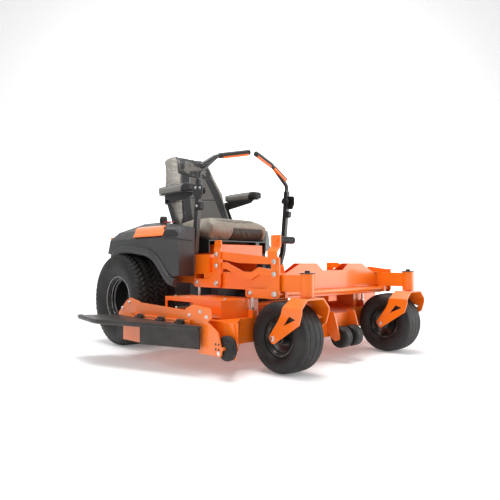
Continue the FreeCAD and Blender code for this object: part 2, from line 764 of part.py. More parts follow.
def deck_lift():
    """Two cross shafts with cranks, the chevron link, the upper rod and the foot pedal."""
    end = lift_y + lift_sheet
    pin_out = lift_y - 8
    for x, z, top, label in ((rear_lift_x, rear_lift_z, as_size(186), "lift_crank_rear"),
                             (front_lift_x, front_lift_z, as_size(170), "lift_crank_front")):
        parts = [rod("y", (x, 0, z), lift_shaft, -end - 4, end + 4)]
        parts += [crank(x, z, top), mirror(crank(x, z, lift_rise + 18), 0)]
        for side in (-1, 1):
            y = ordered(side * as_size(end + 3), side * as_size(pin_out))
            parts.append(rod("y", (x, 0, z + lift_rise), lift_pin, *y))
            y = ordered(side * as_size(end), side * as_size(end + 5))
            parts.append(rod("y", (x, 0, z + lift_rise), 11, *y))
        parts.append(rod("y", (x, 0, z + 150), lift_pin, -end - 3, -pin_out))
        parts.append(rod("y", (x, 0, z + 150), 11, -end - 5, -end))
        if label == "lift_crank_front":
            y = [-end, -lift_y, -lift_y, 24 - lift_y, 24 - lift_y, 16 - lift_y, 16 - lift_y, -end]
            up = [500, 500, 551, 575, 630, 630, 578, 554]
            step = plate("YZ", list(zip(y, up)), x - 50, x + 10)
            parts += [step, rod("y", (x - 15, 0, 608), 14, 10 - lift_y, 130 - lift_y)]
        place(fuse(*parts), label)

    drop = front_lift_z - rear_lift_z
    link_z = rear_lift_z + lift_rise
    middle = (front_lift_x + rear_lift_x) / 2 + 40
    ridge = [(rear_lift_x - 18, link_z - 16), (rear_lift_x + 60, link_z - 16),
             (middle - 60, link_z - 66), (middle, link_z - 66),
             (middle + 50, link_z - 42), (front_lift_x + 18, link_z + drop - 16),
             (front_lift_x + 18, link_z + drop + 16), (middle + 50, link_z - 6),
             (middle, link_z - 30), (middle - 60, link_z - 28), (rear_lift_x + 60, link_z + 18),
             (rear_lift_x - 18, link_z + 18)]
    link = plate("XZ", ridge, 0.8 - lift_y, 6.8 - lift_y)
    bores = [rod("y", (x, 0, z), lift_pin + fit, -end, -pin_out)
             for x, z in ((rear_lift_x, link_z), (front_lift_x, link_z + drop))]
    place(both_sides(cut(link, *bores)), "lift_links")

    rod_z = rear_lift_z + 150
    bar = plate("XZ", [(rear_lift_x - 20, rod_z - 18), (rear_lift_x + 150, rod_z - 44),
                       (front_lift_x + 16, rod_z + drop - 14), (front_lift_x + 16, rod_z + drop + 14),
                       (rear_lift_x + 150, rod_z + 4), (rear_lift_x - 20, rod_z + 18)],
                0.8 - lift_y, 6.8 - lift_y)
    bores = [rod("y", (x, 0, z), lift_pin + fit, -end, -pin_out)
             for x, z in ((rear_lift_x, rod_z), (front_lift_x, rod_z + drop))]
    place(cut(bar, *bores), "lift_rod")


# ---------------------------------------------------------------- deck

def deck():
    """The hollow deck shell with its reinforcing ledge, hinge bracket and roller brackets."""
    recess = pivot_x - trail - caster_radius - 13
    half = [(deck_rear, -deck_side), (notch_x, -deck_side), (notch_x, -notch_y),
            (deck_front, -notch_y), (recess + 90, -660), (recess, -560), (recess - 10, -330),
            (recess + 90, -190), (deck_front, -130)]
    outline = half + [(across, -up) for across, up in reversed(half)]
    shell = plate("XY", outline, deck_low, deck_top)
    inside = doc.addObject("Part::Offset2D", "Inside")
    inside.Source = next(item for item in shell.Group if item.isDerivedFrom("Sketcher::SketchObject"))
    inside.Join = "Intersection"
    bind(inside, "Value", -deck_wall)
    space = doc.addObject("Part::Extrusion", "Space")
    space.Base = inside
    space.DirMode = "Custom"
    space.Dir = vector(0, 0, 1)
    space.Solid = True
    bind(space, "LengthFwd", deck_top - deck_wall - deck_low)
    opening = box((450, 900), (-deck_side - 1, 20 - deck_side), (deck_low - 1, 215))
    holes = [rod("z", (x, y, 0), 30, deck_top - deck_wall - 1, deck_top + 1)
             for x, y in spindle_places()]
    body = cut(shell, space, opening, *holes)

    y = (-deck_side - 6, -deck_side)
    rail = plate("XZ", [(450, 222), (930, 222), (930, deck_top + 40), (450, deck_top + 56)], *y)
    rear_ear = plate("XZ", [(256, 218), (470, 218), (470, 300), (380, 315), (340, 300), (256, 232)],
                     *y, rounded={2: 12})
    front_ear = plate("XZ", [(874, 227), (1020, 227), (1063, 260), (1050, 300), (930, 312),
                             (874, 290)], *y, rounded={3: 12})
    ledge = box((deck_rear, 940), (-deck_side - 6, -deck_side + 50), (deck_top, deck_top + 5))
    baffle = box((deck_rear - 24, 520), (-deck_side - 6, -deck_side), (88, 222))
    front_plate = plate("XZ", [(scalp_x - 157, 232), (scalp_x - 169, 98), (scalp_x - 9, 98),
                               (scalp_x - 4, 126), (scalp_x - 29, 198), (scalp_x - 97, 238)], *y,
                        rounded={2: 14})
    inner_plate = plate("XZ", [(scalp_x - 52, 140), (scalp_x - 22, 84), (scalp_x + 26, 84),
                               (scalp_x + 43, 150), (scalp_x + 18, deck_top),
                               (scalp_x - 52, deck_top)], -notch_y - 6, -notch_y)
    axle = rod("y", (scalp_x, 0, 134), 8, -deck_side - 10, -notch_y)
    tabs = [box((x - 18, x + 18), (-lift_y - 10, 20 - lift_y), (deck_top, deck_top + 35))
            for x in (front_lift_x - lift_reach, rear_lift_x - lift_reach)]
    left_pieces = [front_plate, inner_plate, axle, *tabs]
    cheek = plate("XZ", [(deck_front, 150), (roller_x - 26, 118), (roller_x - 4, 108),
                         (roller_x + 18, 118), (roller_x + 20, 140), (roller_x - 14, 250),
                         (deck_front, 258)], -90, -84)
    roller_axle = rod("y", (roller_x, 0, 127), 8, -94, 94)
    pieces = [body, rail, rear_ear, front_ear, ledge, baffle, cheek, mirror(cheek, 0), roller_axle]
    for item in left_pieces:
        pieces += [item, mirror(item, 0)]
    pin = rod("x", (0, -deck_side - 14, 232), 5, 430, 920)
    knuckles = [box((x, x + 20), (-deck_side - 20, -deck_side - 6), (225, 240))
                for x in (420, 905)]
    place(fuse(*pieces, *knuckles, pin), "deck_shell")


def spindle_places():
    """Where the three blade spindles stand, from the right to the left."""
    return ((side_spindle_x, -side_spindle_y), (centre_spindle_x, as_size(0)),
            (side_spindle_x, side_spindle_y))


def cutters():
    """Spindle housings through the deck, and a shaft with pulley and a blade in each."""
    housings = []
    for (x, y), side in zip(spindle_places(), ("right", "centre", "left")):
        body = fuse(rod("z", (x, y, 0), 30, deck_top - deck_wall - 25, deck_top),
                    rod("z", (x, y, 0), 62, deck_top, deck_top + 12))
        housings.append(cut(body, rod("z", (x, y, 0), spindle_shaft + fit, 200, 260)))
        shaft = turned("z", [
            (deck_low + 24, 0), (deck_low + 24, 26), (deck_low + 40, 26), (deck_low + 40, spindle_shaft),
            (deck_top + 16, spindle_shaft), (deck_top + 16, 58), (deck_top + 24, 48),
            (deck_top + 32, 58), (deck_top + 32, 14), (deck_top + 44, 14), (deck_top + 44, 0)],
            (x, y, 0))
        place(shaft, f"spindle_{side}")
        half = blade_length / 2
        wide = as_size(30)
        blank = plate("XY", [(-half, -wide), (half, -wide), (half, wide), (-half, wide)],
                      deck_low + 18, deck_low + 24)
        put(blank, (x, y, 0))
        place(blank, f"blade_{side}")
    place(group(*housings), "spindle_housings")


def deck_fittings():
    """Belt covers, chute deflector, hanger rods and the anti-scalp wheels."""
    sheet_wall = as_size(4)
    side, step, inside = as_size(-640), -lift_y - 10, as_size(-400)
    rod_x = rear_lift_x - lift_reach
    rear, front, wide_rear = rod_x - 61, front_lift_x - lift_reach - 20, rod_x + 18
    outer = plate("XY", [(rear, side), (front, side), (front, inside), (wide_rear, inside),
                         (wide_rear, step), (rear, step)], deck_top, deck_top + 87)
    inner = plate("XY", [(rear - 1, side + sheet_wall), (front - sheet_wall, side + sheet_wall),
                         (front - sheet_wall, inside - sheet_wall),
                         (wide_rear + sheet_wall, inside - sheet_wall),
                         (wide_rear + sheet_wall, step - sheet_wall),
                         (rear - 1, step - sheet_wall)], deck_top - 1, deck_top + 83)
    mouth = box((rear + 20, 780), (side - 1, side + sheet_wall + 1), (deck_top + 16, deck_top + 66))
    cover = cut(outer, inner, mouth)
    foot = box((front - 195, front - 5), (side - 14, side), (deck_top + 5, deck_top + 9))
    place(both_sides(fuse(cover, foot)), "belt_covers")

    hinge_y = -deck_side - 14
    chute_y = -deck_side - chute_reach
    top = plate("XY", [(256, hinge_y - 8), (150, chute_y + 45), (440, chute_y),
                       (1010, hinge_y - 19), (1016, hinge_y - 8)], 214, 220)
    curtain = plate("XY", [(700, chute_y + 97), (1008, hinge_y - 16.5),
                           (1008, hinge_y - 10.5), (700, chute_y + 103)], 120, 214)
    knuckles = [cut(fuse(rod("x", (0, hinge_y, 232), 7, x, x + 60),
                         box((x, x + 60), (hinge_y - 20, hinge_y), (220, 227))),
                    rod("x", (0, hinge_y, 232), 5 + fit, x - 1, x + 61))
                for x in (470, 660, 820)]
    place(fuse(top, curtain, *knuckles), "chute_deflector")

    hangers = []
    for x, z in ((front_lift_x - lift_reach, front_lift_z), (rear_lift_x - lift_reach, rear_lift_z)):
        strap = plate("XZ", [(x - 14, 290), (x + 14, 290), (x + 14, z + 14), (x - 14, z + 14)],
                      1.5 - lift_y, 6.5 - lift_y)
        stem = rod("z", (x, 4 - lift_y, 0), 7, deck_top + 35, 310)
        bolt = rod("y", (x, 0, z), lift_pin, -lift_y - lift_sheet - 2, 6.5 - lift_y)
        head = rod("y", (x, 0, z), 14, -lift_y - lift_sheet - 7, -lift_y - lift_sheet - 1)
        hangers.append(fuse(strap, stem, bolt, head))
    place(both_sides(group(*hangers)), "hanger_rods")

    wheel = turned("y", [(-16, 8.1), (-16, 46), (-9, 54), (9, 54), (16, 46), (16, 8.1)],
                   (scalp_x, -notch_y - 24, 134))
    place_pair(wheel, "anti_scalp_wheel")
    rollers = [turned("y", [(-30, 8.1), (-30, 45), (-21, 53.5), (21, 53.5), (30, 45), (30, 20),
                            (38, 20), (38, 8.1)], (roller_x, -46, 127))]
    rollers.append(mirror(rollers[0], 0))
    place(group(*rollers), "front_rollers")


# ---------------------------------------------------------------- build and write

for build in (rear_wheels, casters, front_rails, engine_frame, floor_pan, rear_guard, seat_base,
              fenders, engine, hydro_units, seat, controls, deck_lift, deck, cutters,
              deck_fittings):
    build()

doc.recompute()
for item in doc.Objects:
    if {"Invalid", "Error"} & set(item.State):
        raise RuntimeError(f"{item.Name} ({item.Label}) failed: {item.State}")
os.makedirs("parts", exist_ok=True)
for item in NODES:
    shape = item.Shape
    if shape.isNull() or not shape.isValid() or not shape.Solids:
        raise RuntimeError(f"{item.Label} has no valid solid")
    shape.exportStep(f"parts/{item.Label}.step")
    print(f"{item.Label}: {len(shape.Solids)} solids, {shape.Volume / 1000:.0f} cm3")
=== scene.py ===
"""Zero turn mower: painted steel, rubber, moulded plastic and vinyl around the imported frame.

Lengths are written in millimetres in the machine's own frame, with X forward from the rear
axle, Y to the left and Z up from the ground, and spot() turns them into the row frame's metres.
"""

import json
import math

import bmesh
import bpy
import numpy as np
from mathutils import Matrix, Vector

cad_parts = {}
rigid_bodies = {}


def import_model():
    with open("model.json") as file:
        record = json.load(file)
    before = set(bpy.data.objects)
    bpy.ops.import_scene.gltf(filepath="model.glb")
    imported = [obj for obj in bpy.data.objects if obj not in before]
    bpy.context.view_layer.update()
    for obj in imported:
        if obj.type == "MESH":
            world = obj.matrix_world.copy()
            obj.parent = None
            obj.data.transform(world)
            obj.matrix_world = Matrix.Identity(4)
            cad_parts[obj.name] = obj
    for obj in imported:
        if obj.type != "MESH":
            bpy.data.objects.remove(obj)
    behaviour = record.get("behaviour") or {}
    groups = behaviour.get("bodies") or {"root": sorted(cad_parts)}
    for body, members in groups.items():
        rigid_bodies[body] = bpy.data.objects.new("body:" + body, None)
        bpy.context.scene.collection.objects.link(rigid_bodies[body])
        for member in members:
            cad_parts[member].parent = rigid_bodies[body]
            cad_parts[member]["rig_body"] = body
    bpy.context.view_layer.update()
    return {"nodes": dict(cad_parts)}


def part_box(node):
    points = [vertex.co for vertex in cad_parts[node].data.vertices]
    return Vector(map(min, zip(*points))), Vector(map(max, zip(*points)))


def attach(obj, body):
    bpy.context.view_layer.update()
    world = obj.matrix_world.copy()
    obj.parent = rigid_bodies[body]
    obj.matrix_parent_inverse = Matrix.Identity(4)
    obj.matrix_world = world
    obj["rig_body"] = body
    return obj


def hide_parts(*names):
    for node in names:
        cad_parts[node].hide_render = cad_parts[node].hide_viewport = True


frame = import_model()

MM = 0.001
SIDES = {"right": -1, "left": 1}


def middle(node):
    """The middle of a CAD node's box, in metres."""
    low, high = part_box(node)
    return (low + high) / 2


AXLE = middle("rear_tyre_right")
MIDLINE = (middle("rear_tyre_right").y + middle("rear_tyre_left").y) / 2
SHIFT = np.array([AXLE.x, MIDLINE, 0.0])


def spot(x, y, z):
    """A machine point in millimetres as a row-frame point in metres."""
    return SHIFT + np.array([x, y, z]) * MM


# ---------------------------------------------------------------- node materials

class Finish:
    """A Principled material with short ways to add the nodes that give it its surface."""

    def __init__(self, name, colour, roughness, metallic=0.0, **sockets):
        self.material = bpy.data.materials.new(name)
        self.material.use_nodes = True
        self.tree = self.material.node_tree
        self.shader = self.tree.nodes["Principled BSDF"]
        self.colour = (*colour, 1.0)
        self.shader.inputs["Base Color"].default_value = self.colour
        self.shader.inputs["Roughness"].default_value = roughness
        self.shader.inputs["Metallic"].default_value = metallic
        for name, value in sockets.items():
            self.shader.inputs[name.replace("_", " ")].default_value = value
        self.place = self.tree.nodes.new("ShaderNodeTexCoord").outputs["Object"]

    def node(self, kind, settings=None, **inputs):
        """One node; inputs are sockets to join or values to set."""
        made = self.tree.nodes.new(kind)
        for key, value in (settings or {}).items():
            setattr(made, key, value)
        for key, value in inputs.items():
            socket = made.inputs[int(key[1:]) if key[0] == "n" and key[1:].isdigit()
                                 else key.replace("_", " ")]
            if isinstance(value, bpy.types.NodeSocket):
                self.tree.links.new(value, socket)
            else:
                socket.default_value = value
        return made

    def stretched(self, scale):
        """Object coordinates with each axis scaled by itself."""
        return self.node("ShaderNodeMapping", Vector=self.place, Scale=scale).outputs["Vector"]

    def noise(self, scale, detail=4.0, where=None, roughness=0.6):
        """Cloudy noise between 0 and 1."""
        return self.node("ShaderNodeTexNoise", Vector=where or self.place, Scale=scale,
                         Detail=detail, Roughness=roughness).outputs["Fac"]

    def cells(self, scale, feature="F1", where=None):
        """Distance to the nearest of scattered points: pebble grain."""
        return self.node("ShaderNodeTexVoronoi", {"feature": feature},
                         Vector=where or self.place, Scale=scale).outputs["Distance"]

    def ramp(self, value, low, high, start=0.0, end=1.0):
        """The value stretched so that low gives start and high gives end."""
        return self.node("ShaderNodeMapRange", Value=value, From_Min=low, From_Max=high,
                         To_Min=start, To_Max=end).outputs["Result"]

    def math(self, operation, left, right=0.5):
        """Arithmetic on two values."""
        return self.node("ShaderNodeMath", {"operation": operation}, n0=left,
                         n1=right).outputs["Value"]

    def tint(self, amount, other, base=None):
        """The base colour mixed towards another colour by an amount."""
        mix = self.node("ShaderNodeMix", {"data_type": "RGBA"}, Factor=amount)
        for socket, value in ((mix.inputs[6], base or self.colour), (mix.inputs[7], other)):
            if isinstance(value, bpy.types.NodeSocket):
                self.tree.links.new(value, socket)
            else:
                socket.default_value = (*value[:3], 1.0)
        return mix.outputs[2]

    def set(self, name, value):
        """Join a socket to the shader."""
        self.tree.links.new(value, self.shader.inputs[name])

    def bump(self, height, distance, strength=1.0, under=None):
        """Relief of a given distance in metres, over an earlier relief if there is one."""
        made = self.node("ShaderNodeBump", Height=height, Distance=distance, Strength=strength)
        if under is not None:
            self.tree.links.new(under, made.inputs["Normal"])
        self.set("Normal", made.outputs["Normal"])
        return made.outputs["Normal"]

    def height(self):
        """Height above the ground."""
        return self.node("ShaderNodeSeparateXYZ", Vector=self.place).outputs["Z"]


def paint(name, colour, faded, roughness, coat):
    """Powder coat: slow colour drift, orange-peel relief and a clear coat."""
    made = Finish(name, colour, roughness, Coat_Weight=coat, Coat_Roughness=0.12,
                  Specular_IOR_Level=0.5)
    drift = made.ramp(made.noise(3.0, 3.0), 0.35, 0.7)
    dust = made.math("MULTIPLY", made.ramp(made.noise(28.0, 8.0), 0.5, 0.75),
                     made.ramp(made.height(), 0.42, 0.05, 0.0, 0.5))
    made.set("Base Color", made.tint(dust, (0.32, 0.25, 0.19),
                                     made.tint(drift, faded)))
    made.set("Roughness", made.ramp(made.noise(60.0, 5.0), 0.3, 0.7, roughness - 0.05,
                                    roughness + 0.08))
    fine = made.bump(made.noise(520.0, 2.0), 0.00012, 0.5)
    made.bump(made.noise(45.0, 2.0), 0.0004, 0.35, fine)
    return made.material


def moulded(name, colour, roughness, grain=900.0, relief=0.00015):
    """Moulded plastic: a fine pebbled grain and faint scuffs."""
    made = Finish(name, colour, roughness, Specular_IOR_Level=0.4)
    scuff = made.ramp(made.noise(9.0, 6.0), 0.45, 0.75, 0.0, 0.35)
    made.set("Base Color", made.tint(scuff, tuple(min(1.0, part * 1.5 + 0.01) for part in colour)))
    made.set("Roughness", made.ramp(made.noise(35.0, 6.0), 0.3, 0.7, roughness - 0.06,
                                    roughness + 0.1))
    made.bump(made.cells(grain), relief, 0.6)
    return made.material


def rubber(name, colour, roughness, dusty=0.35):
    """Rubber: matt, finely grained, with clouds of pale dust."""
    made = Finish(name, colour, roughness, Specular_IOR_Level=0.35)
    cloud = made.ramp(made.noise(14.0, 8.0), 0.4, 0.75, 0.0, dusty)
    made.set("Base Color", made.tint(cloud, (0.085, 0.078, 0.07)))
    made.set("Roughness", made.ramp(made.noise(50.0, 4.0), 0.3, 0.7, roughness - 0.08,
                                    roughness + 0.08))
    made.bump(made.noise(700.0, 4.0), 0.0002, 0.5)
    return made.material


def plated(name, colour, roughness, streaks=(6.0, 240.0, 240.0)):
    """Zinc plate or ground steel: faint streaks along one axis and cloudy colour."""
    made = Finish(name, colour, roughness, metallic=1.0)
    cloud = made.ramp(made.noise(40.0, 5.0), 0.35, 0.7, 0.0, 0.5)
    made.set("Base Color", made.tint(cloud, tuple(part * 0.72 for part in colour)))
    lines = made.noise(1.0, 3.0, made.stretched(streaks))
    made.set("Roughness", made.ramp(lines, 0.3, 0.7, roughness - 0.08, roughness + 0.1))
    made.bump(lines, 0.00005, 0.4)
    return made.material


ORANGE = paint("orange_powder_coat", (0.92, 0.18, 0.004), (0.85, 0.15, 0.003), 0.32, 0.4)
BLACK_PAINT = paint("black_powder_coat", (0.009, 0.009, 0.0095), (0.014, 0.014, 0.0145), 0.34, 0.25)
GREY_PLASTIC = moulded("grey_moulding", (0.04, 0.041, 0.043), 0.44)
DARK_PLASTIC = moulded("dark_moulding", (0.014, 0.0145, 0.0155), 0.5)
BLACK_PLASTIC = moulded("black_moulding", (0.012, 0.012, 0.013), 0.42, 700.0)
TYRE = rubber("tyre_rubber", (0.011, 0.0105, 0.0105), 0.58, 0.22)
CHUTE_RUBBER = rubber("chute_rubber", (0.026, 0.022, 0.021), 0.4, 0.4)
ZINC = plated("zinc_plate", (0.72, 0.71, 0.68), 0.3)
CASTING = plated("cast_aluminium", (0.34, 0.34, 0.35), 0.5, (90.0, 90.0, 90.0))
DARK_CASTING = paint("dark_casting", (0.014, 0.014, 0.0145), (0.02, 0.02, 0.021), 0.5, 0.05)


# ---------------------------------------------------------------- surfaces

def piece(name, points, faces, material, body, slot, smooth=35.0):
    """A mesh object that rides on a body; edges sharper than smooth degrees stay crisp."""
    mesh = bpy.data.meshes.new(name)
    mesh.from_pydata(np.asarray(points, float).reshape(-1, 3).tolist(), [],
                     np.asarray(faces).tolist() if isinstance(faces, np.ndarray) else faces)
    mesh.materials.append(material)
    mesh.validate()
    mesh.polygons.foreach_set("use_smooth", np.ones(len(mesh.polygons), bool))
    mesh.set_sharp_from_angle(angle=math.radians(smooth))
    made = bpy.data.objects.new(name, mesh)
    bpy.context.scene.collection.objects.link(made)
    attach(made, body)
    return made


def grid_faces(rows, columns, wrap_rows, wrap_columns):
    """The quads of a grid of points, closed round either way if asked."""
    row = np.arange(rows if wrap_rows else rows - 1)
    column = np.arange(columns if wrap_columns else columns - 1)
    r, c = (part.ravel() for part in np.meshgrid(row, column, indexing="ij"))
    r2, c2 = (r + 1) % rows, (c + 1) % columns
    return np.stack([r * columns + c, r2 * columns + c, r2 * columns + c2,
                     r * columns + c2], axis=1)


def tube_faces(rows, columns, closed=False):
    """The quads of a tube of rings, with a cap on each end unless it closes on itself."""
    faces = [list(face) for face in grid_faces(rows, columns, closed, True)]
    if not closed:
        faces += [list(range(columns)), [(rows - 1) * columns + i for i in range(columns)]]
    return faces


def turned_points(profile, count, centre, axis="y"):
    """A closed (along, radius) profile carried round an axis: count copies, evenly turned."""
    along, radius = np.asarray(profile, float).T
    turn = np.arange(count) * math.tau / count
    out = np.stack([np.cos(turn)[:, None] * radius, np.sin(turn)[:, None] * radius,
                    np.broadcast_to(along, (count, len(along)))], axis=-1)
    placed = np.empty_like(out)
    for target, source in zip({"y": (2, 0, 1), "z": (0, 1, 2), "x": (1, 2, 0)}[axis], (0, 1, 2)):
        placed[..., target] = out[..., source]
    return placed + np.asarray(centre)


def fix_normals(made):
    """Turn a closed mesh's faces outward."""
    work = bmesh.new()
    work.from_mesh(made.data)
    bmesh.ops.remove_doubles(work, verts=work.verts, dist=1e-6)
    bmesh.ops.recalc_face_normals(work, faces=work.faces)
    work.to_mesh(made.data)
    work.free()
    return made


def turning(name, profile, count, centre, axis, material, body, slot, smooth=35.0):
    """A solid of revolution from a closed profile in millimetres."""
    points = turned_points(np.asarray(profile, float) * MM, count, centre, axis)
    rows, columns = points.shape[:2]
    made = piece(name, points, grid_faces(rows, columns, True, True), material, body, slot, smooth)
    return fix_normals(made)


def refined(node, material, width=1.5, segments=2, angle=28.0):
    """A CAD piece with its sharp edges rolled over, as folded and cut steel has them."""
    source = frame["nodes"][node]
    mesh = source.data.copy()
    work = bmesh.new()
    work.from_mesh(mesh)
    bmesh.ops.remove_doubles(work, verts=work.verts, dist=1e-5)
    bmesh.ops.dissolve_limit(work, angle_limit=math.radians(0.6), verts=work.verts,
                             edges=work.edges)
    work.to_mesh(mesh)
    work.free()
    mesh.materials.clear()
    mesh.materials.append(material)
    mesh.polygons.foreach_set("use_smooth", np.ones(len(mesh.polygons), bool))
    mesh.set_sharp_from_angle(angle=math.radians(angle))
    made = bpy.data.objects.new(f"{node}_finished", mesh)
    bpy.context.scene.collection.objects.link(made)
    bevel = made.modifiers.new("rolled_edges", "BEVEL")
    bevel.width = width * MM
    bevel.segments = segments
    bevel.limit_method = "ANGLE"
    bevel.angle_limit = math.radians(angle)
    bevel.use_clamp_overlap = True
    bevel.harden_normals = True
    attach(made, source["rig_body"])
    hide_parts(node)
    return made


# ---------------------------------------------------------------- wheels

def tyre_section(half, radius, seat, shoulder, bulge, count):
    """Outer side wall, shoulder and crown from one bead to the other, as (along, radius).

    The crown is a shallow arch, each shoulder a quarter turn of an ellipse, and each side wall
    bulges as a sine between shoulder and bead.
    """
    crown_along = np.linspace(-(half - shoulder), half - shoulder, count)
    crown = np.stack([crown_along, radius - 5.0 * (crown_along / half) ** 2], axis=1)
    turn = np.linspace(0, math.pi / 2, 9)[1:]
    edge = crown[-1, 1]
    corner = np.stack([half - shoulder + shoulder * np.sin(turn),
                       edge - shoulder * (1 - np.cos(turn))], axis=1)
    wall_radius = np.linspace(edge - shoulder, seat + 12, 12)[1:]
    share = (edge - shoulder - wall_radius) / (edge - shoulder - seat - 12)
    wall = np.stack([half - bulge * share ** 1.6 + 3.0 * np.sin(share * math.pi), wall_radius],
                    axis=1)
    right = np.concatenate([corner, wall])
    left = right[::-1] * [-1, 1]
    return np.concatenate([left, crown, right])


def rear_tyre(side):
    """Turf tyre: slanted lugs in staggered rows stand on the crown and fade down the shoulders.

    The radius at an angle and a place across the tread is the section's radius plus a lug height
    where the slanted wave of the angle is high, cut by grooves that run round the tyre.
    """
    centre = np.array(middle(f"rear_tyre_{side}"))
    radius, half, seat = 271.0, 139.0, 127.0
    section = tyre_section(half, radius, seat, 46.0, 26.0, 96)
    inner = np.array([[half - 31, seat + 12], [half - 31, seat], [half - 44, seat],
                      [half - 44, seat + 30], [-(half - 44), seat + 30], [-(half - 44), seat],
                      [-(half - 31), seat], [-(half - 31), seat + 12]])
    profile = np.concatenate([section, inner])
    count, lugs = 640, 54
    turn = np.arange(count) * math.tau / count
    along, reach = profile.T
    across = along / half
    tread = np.zeros(len(profile), bool)
    tread[:len(section)] = reach[:len(section)] > radius - 36
    row = np.floor((across + 1) * 4.0)
    lean = np.where(row % 2 == 0, 1.0, -1.0) * 0.9
    phase = turn[:, None] * lugs / math.tau + lean * (across * 4.0 % 1.0) + 0.5 * (row % 2)
    wave = np.abs((phase % 1.0) - 0.5) * 2
    block = np.clip((0.72 - wave) / 0.1, 0, 1)
    groove = np.clip(((0.5 - np.abs((across + 1) * 4.0 % 1.0 - 0.5)) - 0.07) / 0.05, 0, 1)
    outer_row = np.abs(across) > 0.75
    groove = np.where(outer_row, 1.0, groove)
    fade = np.clip((reach - (radius - 34)) / 12, 0, 1)
    lift = 8.4 * block * groove * fade * tread
    tip = np.clip((np.abs(across) - 0.7) * 2.6, 0, 1.2)
    grown = reach + lift * np.cos(tip)
    wide = along + 0.1 * np.sign(along) * lift * np.sin(tip)
    points = np.stack([np.cos(turn)[:, None] * grown,
                       np.broadcast_to(wide, grown.shape),
                       np.sin(turn)[:, None] * grown], axis=-1) * MM + centre
    made = piece(f"turf_tyre_{side}", points, grid_faces(*points.shape[:2], True, True), TYRE,
                 f"rear_wheel_{side}", "tyre_rubber", 40.0)
    fix_normals(made)
    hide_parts(f"rear_tyre_{side}")


def rear_rim(side):
    """Deep dish wheel: rolled lips, a stepped barrel, a dished disc far inside and its nuts, with
    two zinc rings on the lips as painted highlights.
    """
    outward = SIDES[side]
    centre = np.array(middle(f"rear_tyre_{side}"))
    low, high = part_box(f"rear_rim_{side}")
    half = (high.y - low.y) / 2 / MM
    profile = [[half - 5, 141], [half, 140.5], [half, 133], [half - 6, 130.5], [half - 14, 124.5],
               [half - 40, 122.5], [half - 46, 115.5], [half - 74, 114.5], [half - 84, 119.5],
               [-20, 120], [-30, 113], [-half + 42, 112], [-half + 30, 104], [-half + 20, 70],
               [-half + 19, 60], [-half + 21, 46], [-half + 22, 34], [-half + 14, 34],
               [-half + 14, 46], [-half + 12, 70], [-half + 13, 121], [-half + 2, 123],
               [-half, 133], [-half, 140.5], [-half + 4, 141], [-half + 4, 127],
               [half - 4, 127], [half - 4, 141]]
    profile = np.array(profile) * [outward, 1]
    made = turning(f"wheel_rim_{side}", profile, 96, centre, "y", BLACK_PAINT,
                   f"rear_wheel_{side}", "black_steel", 30.0)
    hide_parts(f"rear_rim_{side}")
    # Two bright zinc rings on the black lips are painted highlights: they stand for the glint of
    # the glossy rolled edges.
    turn = np.arange(12) * math.tau / 12
    for step, (reach, thick, inset) in enumerate(((137.0, 1.7, 1.2), (123.4, 1.3, 26.0))):
        highlight_ring = np.stack([half - inset + thick * np.cos(turn),
                               reach + thick * np.sin(turn)], axis=1) * [outward, 1]
        turning(f"rim_highlight_ring_{side}_{step}", highlight_ring, 96, centre, "y", ZINC,
                f"rear_wheel_{side}", "black_steel")
    for step in range(5):
        turn = math.tau * (step + 0.25) / 5
        seat = centre + MM * np.array([math.cos(turn) * 58, -outward * (half - 20),
                                       math.sin(turn) * 58])
        nut(f"wheel_nut_{side}_{step}", seat, (0, outward, 0), 11, 14, f"rear_wheel_{side}")


def caster_tyre(side):
    """Smooth ribbed caster tyre: shallow grooves round the crown and rings on the side walls."""
    centre = np.array(middle(f"caster_tyre_{side}"))
    section = tyre_section(82.0, 163.6, 76.0, 34.0, 20.0, 60)
    along, reach = section.T
    crown = np.abs(along) < 50
    ribs = np.clip((np.cos(along / 50 * math.pi * 3) - 0.75) * 4, 0, 1)
    reach = reach - np.where(crown, 1.6 * ribs, 0)
    rings = 1.1 * np.clip(np.cos((reach - 100) / 4.2), 0, 1) * (reach > 92) * (reach < 132)
    along = along + np.sign(along) * rings
    section = np.stack([np.clip(along, -82.4, 82.4), reach], axis=1)
    inner = np.array([[51, 88], [51, 76], [40, 76], [40, 100], [-40, 100], [-40, 76], [-51, 76],
                      [-51, 88]])
    profile = np.concatenate([section, inner])
    made = turning(f"caster_rubber_{side}", profile, 128, centre, "y", TYRE,
                   f"caster_wheel_{side}", "tyre_rubber", 40.0)
    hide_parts(f"caster_tyre_{side}")


def caster_rim(side):
    """Caster wheel: rolled lip, dished face, raised bearing hub with a seal."""
    centre = np.array(middle(f"caster_tyre_{side}"))
    right = [[56, 86], [56, 79], [50, 76], [44, 70], [36, 68], [30, 60], [22, 44], [22, 34],
             [40, 32], [60, 30], [62, 24], [86, 21], [86, 6.5]]
    left = [[-along, radius] for along, radius in reversed(right)]
    seat = [[-52, 86], [-52, 76], [52, 76], [52, 86]]
    made = turning(f"caster_rim_{side}", right + left + seat, 72, centre, "y", BLACK_PAINT,
                   f"caster_wheel_{side}", "black_steel", 30.0)
    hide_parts(f"caster_hub_{side}")


